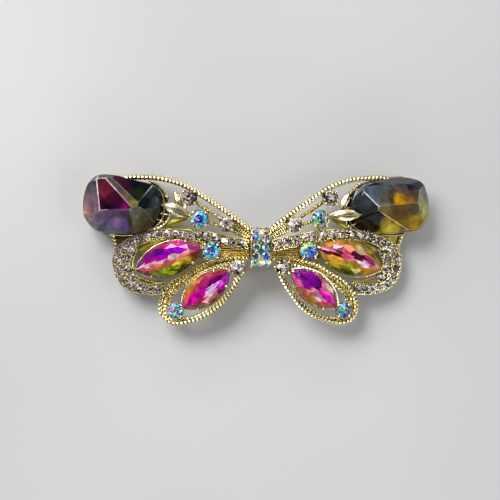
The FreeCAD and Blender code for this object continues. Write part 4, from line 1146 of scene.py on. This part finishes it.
# Each step of a marquise stone's claw, as (reach inward, level).
NAVETTE_CLAW = [
    (0.0, 1.0), (0.05, NAVETTE_GIRDLE - 0.1), (0.15, NAVETTE_GIRDLE + 0.28), (0.5, NAVETTE_GIRDLE + 0.55),
]
NAVETTE_CLAW_WIDTHS = (0.3, 0.32, 0.3, 0.16)


def navette_setting(shape, length, width, beaded):
    """A thin-walled cup with claws at its points and sides, and beads along one side or none."""
    skin(shape, [[Vector((*lens_point(angle, length + 2.2 * grown, width + 2 * grown), level))
                  for angle in angles_round(48)] for grown, level in NAVETTE_CUP])
    for angle in NAVETTE_CLAW_ANGLES:
        tip = Vector((*lens_point(math.radians(angle), length + 0.4, width + 0.4), 0))
        inward = (Vector((tip.x * 0.6, 0, 0)) - tip).normalized()
        path = [tip + inward * reach + UP * level for reach, level in NAVETTE_CLAW]
        claw(shape, path, NAVETTE_CLAW_WIDTHS, inward.cross(UP), (UP - inward).normalized(), 0.6)
    if beaded:
        edge = [Vector((*lens_point(math.pi * i / 40, length + 0.7, width + 0.7), NAVETTE_GIRDLE))
                for i in range(3, 38)]
        beading(shape, edge, 0.2, 0.42)


def build_navettes(which, side):
    """Each marquise stone in its cup."""
    for position, facts in NAVETTES.items():
        length, width = facts["length"], facts["width"]
        out, up = facts["centre"]
        turn = Matrix.Rotation(math.radians(-side * facts["slope"]), 4, "Z")
        place = Matrix.Translation((side * out, up, 0)) @ turn
        shape = new_shape()
        navette_setting(shape, length, width, position == "lower")
        finish_on_wing(which, f"{position}_navette_setting", shape, BRIGHT_GOLD,
                       f"{position}_navette_cup", place=place)
        shape = new_shape()
        build_navette_stone(shape, side, length, width, NAVETTE_ZONES[f"{which}_{position}"])
        finish_on_wing(which, f"{position}_navette_stone", shape, LARGE_CRYSTAL, f"{position}_navette",
                       0, place)


def build_tray(which, side):
    """A shallow tray under the nugget, its lip close round the stone.

    Its section is made of (how far outside the stone's outline, level).
    """
    facts = NUGGETS[which]
    middle = Vector((*facts["centre"], 0))

    def ring(margin, level):
        made = []
        for out, up in facts["outline"]:
            arm = Vector((out, up, 0)) - middle
            spot = middle + arm * (1 + margin / arm.length)
            made.append(Vector((side * spot.x, spot.y, level)))
        return made

    shape = new_shape()
    lip = 0.1 if which == "left" else 0.25
    section = [(-0.4, -0.8), (lip - 0.1, -0.72), (lip, -0.4), (lip, 0.7), (lip - 0.08, 0.95),
               (lip - 0.3, 0.95), (-0.3, 0.2), (-2.0, -0.15)]
    skin(shape, [ring(margin, level) for margin, level in section])
    finish_on_wing(which, "nugget_seat", shape, SATIN_GOLD, "nugget_tray")


# The calyx at a nugget's inner end: a beaded rim, the bezel wire next to the stone, and
# short prongs across the gap between them, which a near-black plate below paints as shade.
CALYX = {
    "left": {
        "rim": [(23.0, 14.4), (20.6, 13.0), (19.4, 11.0), (18.9, 9.8), (18.6, 8.6), (19.2, 6.4),
                (22.4, 4.4)],
        "bezel": [(22.6, 13.6), (20.9, 12.4), (20.2, 10.2), (20.1, 8.4), (20.6, 6.2), (22.0, 4.8),
                  (23.4, 4.2)],
        "prongs": [((18.9, 11.0), (20.4, 11.6)), ((18.6, 9.8), (20.4, 9.4)), ((19.0, 7.4), (20.6, 7.6)),
                   ((20.0, 5.8), (21.4, 6.4))],
    },
    "right": {
        "rim": [(21.4, 13.9), (19.4, 12.2), (18.4, 10.4), (18.0, 9.2), (17.9, 8.2), (18.4, 5.8),
                (20.8, 4.0)],
        "bezel": [(21.4, 13.2), (19.4, 12.0), (18.6, 9.8), (18.5, 8.6), (18.9, 6.6), (20.0, 5.0),
                  (22.0, 4.0)],
        "prongs": [((18.4, 10.6), (19.6, 11.0)), ((18.0, 8.8), (19.4, 9.0)), ((18.2, 6.8), (19.8, 7.2)),
                   ((19.4, 5.0), (20.6, 5.8))],
    },
}
RIM_LEVEL = 1.7
PRONG_LEVEL = 2.6
PRONG_ARCH = 0.3


def build_calyx(which, side):
    """The calyx's wires, beads and prongs, and a near-black plate below them that paints shade."""
    facts = CALYX[which]
    shape = new_shape()
    rim = wing_path(side, facts["rim"], RIM_LEVEL)
    sweep(shape, rim, circle_profile(0.26))
    beading(shape, [place + UP * 0.15 for place in rim], 0.27, 0.75)
    sweep(shape, wing_path(side, facts["bezel"], 1.9), circle_profile(0.18))
    for start, end in facts["prongs"]:
        low = Vector((side * start[0], start[1], RIM_LEVEL))
        high = Vector((side * end[0], end[1], PRONG_LEVEL))
        path = [low.lerp(high, i / 6) + UP * (PRONG_ARCH * math.sin(math.pi * i / 6)) for i in range(7)]
        sweep(shape, path, circle_profile(0.17, 6))
        bead(shape, high, 0.24)
    finish_on_wing(which, "nugget_calyx", shape, BRIGHT_GOLD)
    shape = new_shape()
    # A near-black plate that stands in for the deep shadow in the gap.
    plate(shape, [(side * out, up) for out, up in facts["rim"]], 0.2, 1.1)
    finish_on_wing(which, "calyx_shade_plate", shape, SHADOW_DARK_GOLD)


LEAF_STEPS = 18
LEAF_ARCH = 0.5
# A leaf's section, as (share of its half width, height): a rounded half, a crease, a hollow half.
LEAF_SECTION = [
    (-1.0, -0.12), (-0.6, 0.12), (-0.15, 0.3), (0.0, 0.26), (0.12, 0.0), (0.55, -0.02),
    (0.78, 0.16), (1.0, 0.0), (0.8, -0.25), (0.0, -0.4), (-0.8, -0.3),
]
STEM_ROOT = (13.2, 6.7)
STEM_LEVEL = 1.6


def leaf(shape, side, base, tip, width, base_level, tip_level):
    """A leaf whose upper half is rounded and whose lower half is hollow, with a crease between."""
    start = Vector((side * base[0], base[1], base_level))
    end = Vector((side * tip[0], tip[1], tip_level))
    along = (end - start).normalized()
    beside = side * along.cross(UP).normalized()
    rings = []
    for i in range(LEAF_STEPS + 1):
        share = i / LEAF_STEPS
        half = max(0.03, width / 2 * math.sin(math.pi * min(1.0, 0.04 + 0.96 * share)) ** 0.7)
        middle = start.lerp(end, share) + UP * (LEAF_ARCH * math.sin(math.pi * share))
        thin = min(1.0, half / 0.4)
        rings.append([middle + beside * (half * x) + UP * (y * thin) for x, y in LEAF_SECTION])
    skin(shape, rings)


def build_leaves(which, side):
    """Two polished leaves and a dull one, on stems from one root."""
    *polished, dull = LEAVES[which]
    shape = new_shape()
    for facts in polished:
        leaf(shape, side, *facts)
    sweep(shape, wing_path(side, [STEM_ROOT, (14.2, 7.0), (15.6, 7.5)], STEM_LEVEL), circle_profile(0.32))
    root = Vector((side * STEM_ROOT[0], STEM_ROOT[1], STEM_LEVEL))
    for base, _, _, base_level, _ in polished:
        foot = Vector((side * base[0], base[1], base_level - 0.1))
        stem = [root.lerp(foot, i / 8) - UP * (0.35 * math.sin(math.pi * i / 8)) for i in range(9)]
        sweep(shape, stem, circle_profile(0.3))
    finish_on_wing(which, "leaves", shape, PALE_GOLD, "leaf_spray", smooth_below=40)
    shape = new_shape()
    leaf(shape, side, *dull)
    finish_on_wing(which, "low_leaf", shape, OLIVE_GOLD)


# ---- body and back ----

# The body's arch: where its middle lies along Y, its radius, its top, and half its angle in degrees.
BODY_MIDDLE = 0.6
BODY_ARCH = 5.93
BODY_TOP = 3.2
BODY_REACH = 43
BODY_STEPS = 12
BODY_STONE_RADIUS, BODY_STONE_CROWN, BODY_STONE_DEPTH = 0.9, 0.34, 0.7
# The top of the body's section, as (across, height), and the places across its flat underside.
BODY_SECTION = [(-2.2, 0.0), (-2.1, 0.16), (-1.7, 0.2), (1.7, 0.2), (2.1, 0.16), (2.2, 0.0)]
BODY_UNDERSIDE = (2.2, 1.0, -1.0, -2.2)
STONE_ROW_ANGLE = 17.8


def outward_at(turn):
    """Straight out from the middle of the body's arch, at a turn from upright towards +Y."""
    return Vector((0, math.sin(turn), math.cos(turn)))


def build_body():
    """A barrel arched along its length, with two rows of stones and beads between them."""
    arch_centre = Vector((0, BODY_MIDDLE, BODY_TOP - BODY_ARCH))
    shape = new_shape()
    rings = []
    for i in range(BODY_STEPS + 1):
        outward = outward_at(math.radians(-BODY_REACH + 2 * BODY_REACH * i / BODY_STEPS))
        top = arch_centre + outward * (BODY_ARCH - 0.25)
        ring = [top + Vector((x, 0, 0)) + outward * rise for x, rise in BODY_SECTION]
        ring += [Vector((x, top.y, -0.3)) for x in BODY_UNDERSIDE]
        rings.append(ring)
    skin(shape, rings)
    stones = new_shape()
    for row in range(-2, 3):
        turn = math.radians(STONE_ROW_ANGLE * row)
        tilt = Matrix.Rotation(-turn, 4, "X")
        outward = outward_at(turn)
        for column in (-1, 1):
            seat = arch_centre + outward * BODY_ARCH + Vector((1.05 * column, 0, 0))
            rim, heart = (words.split() for words in BODY_STONES[(column, row)])
            round_stone(stones, Matrix.Translation(seat) @ tilt, BODY_STONE_RADIUS, rim, heart,
                        BODY_STONE_CROWN, BODY_STONE_DEPTH)
        for column in (-2.05, 0.0, 2.05):
            for half in (-0.5, 0.5):
                spin = turn + math.radians(STONE_ROW_ANGLE * half)
                spot = Vector((column, BODY_ARCH * math.sin(spin), BODY_ARCH * math.cos(spin)))
                bead(shape, arch_centre + spot, 0.22)
    finish_piece("body_shell", shape, BRIGHT_GOLD, BODY_MATRIX, "body_barrel")
    finish_piece("body_crystals", stones, SMALL_CRYSTAL, BODY_MATRIX, "body_stones", 0)


BACK_METALS = {
    "pin_bar": FINDING_METAL, "hinge_rivet": FINDING_METAL, "catch_housing": FINDING_METAL,
    "catch_rotor": FINDING_METAL, "pin_stem": STEEL_WIRE,
}


def dress_back():
    """The pin and catch keep their CAD shapes, with worn edges and plated or bright steel."""
    for name, material in BACK_METALS.items():
        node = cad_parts[name]
        for slot in node.material_slots:
            slot.material = material
        edge = node.modifiers.new("worn edges", "BEVEL")
        edge.width = 0.08 * MM
        edge.segments = 2
        edge.limit_method = "ANGLE"


for which, side in SIDES.items():
    build_forewing_frame(which, side)
    build_corner(which, side)
    build_loop(which, side)
    build_loop_stones(which, side)
    build_shoulder(which, side)
    build_hindwing(which, side)
    build_round_settings(which, side)
    build_navettes(which, side)
    build_tray(which, side)
    build_calyx(which, side)
    build_nugget(which, side)
    build_leaves(which, side)
build_body()
dress_back()


# ---- studio ----

FLOOR_REACH = 0.8
# The lamps, each with its place, size and power. Lengths are in metres.
LAMPS = {
    "key": ((-0.28, 0.30, 0.42), (0.34, 0.26), 3.0),
    "fill": ((0.42, -0.12, 0.36), (0.30, 0.30), 0.5),
    "strip": ((-0.05, 0.48, 0.22), (0.50, 0.03), 0.6),
    "low_strip": ((0.10, -0.48, 0.22), (0.40, 0.03), 0.4),
}


def build_floor():
    """A plain pale floor, slightly uneven in shade."""
    made = Material("studio_floor", Roughness=0.6)
    shade = made.noise(9.0, detail=1.0)
    made.colour_by(made.ramp(shade, [(0.35, (0.56, 0.56, 0.57)), (0.65, (0.64, 0.64, 0.65))]))
    mesh = bpy.data.meshes.new("studio_floor")
    corners = [(x * FLOOR_REACH, y * FLOOR_REACH, 0) for x, y in ((-1, -1), (1, -1), (1, 1), (-1, 1))]
    mesh.from_pydata(corners, [], [(0, 1, 2, 3)])
    mesh.materials.append(made.data)
    add_object("studio_floor", mesh)


def soft_light(name, spot, size, watts):
    """A rectangular lamp that faces the middle of the floor."""
    data = bpy.data.lights.new(name, "AREA")
    data.shape = "RECTANGLE"
    data.size, data.size_y = size
    data.energy = watts
    light = add_object(name, data)
    light.location = spot
    light.rotation_mode = "QUATERNION"
    light.rotation_quaternion = (-light.location).to_track_quat("-Z", "Y")


# How bright the sky is, by height, from the horizon at 0 to straight up at 1.
SKY = [(0.0, 0.04), (0.25, 0.06), (0.42, 0.50), (0.72, 0.55), (0.86, 0.12), (1.0, 0.05)]


def build_sky():
    """A soft sky that is dark overhead and near the horizon, and bright in a band between."""
    sky = bpy.data.worlds.new("studio")
    sky.use_nodes = True
    nodes, links = sky.node_tree.nodes, sky.node_tree.links
    heading = nodes.new("ShaderNodeTexCoord")
    parts = nodes.new("ShaderNodeSeparateXYZ")
    links.new(heading.outputs["Generated"], parts.inputs["Vector"])
    band = nodes.new("ShaderNodeValToRGB")
    fill_ramp(band.color_ramp, [(place, (value, value, value * 1.03)) for place, value in SKY])
    links.new(parts.outputs["Z"], band.inputs["Fac"])
    links.new(band.outputs["Color"], nodes["Background"].inputs["Color"])
    bpy.context.scene.world = sky


def build_studio():
    build_floor()
    for name, (spot, size, watts) in LAMPS.items():
        soft_light(name, spot, size, watts)
    build_sky()
    bpy.context.scene.view_settings.view_transform = "Standard"


CAMERA_TARGET = Vector((-0.0021, 0.0, 0.007))
CAMERA_DISTANCE = 0.330
CAMERA_YAW = math.radians(5)
WIDTH_SEEN = 0.105


def build_camera():
    """Looks almost straight down, a little from the left."""
    data = bpy.data.cameras.new("camera")
    data.sensor_width = 36.0
    data.lens = data.sensor_width * CAMERA_DISTANCE / WIDTH_SEEN
    data.clip_start = 0.01
    camera = add_object("camera", data)
    heading = Vector((-math.sin(CAMERA_YAW), 0, math.cos(CAMERA_YAW)))
    camera.location = CAMERA_TARGET + heading * CAMERA_DISTANCE
    camera.rotation_euler = (0, -CAMERA_YAW, 0)
    bpy.context.scene.camera = camera


build_studio()
build_camera()
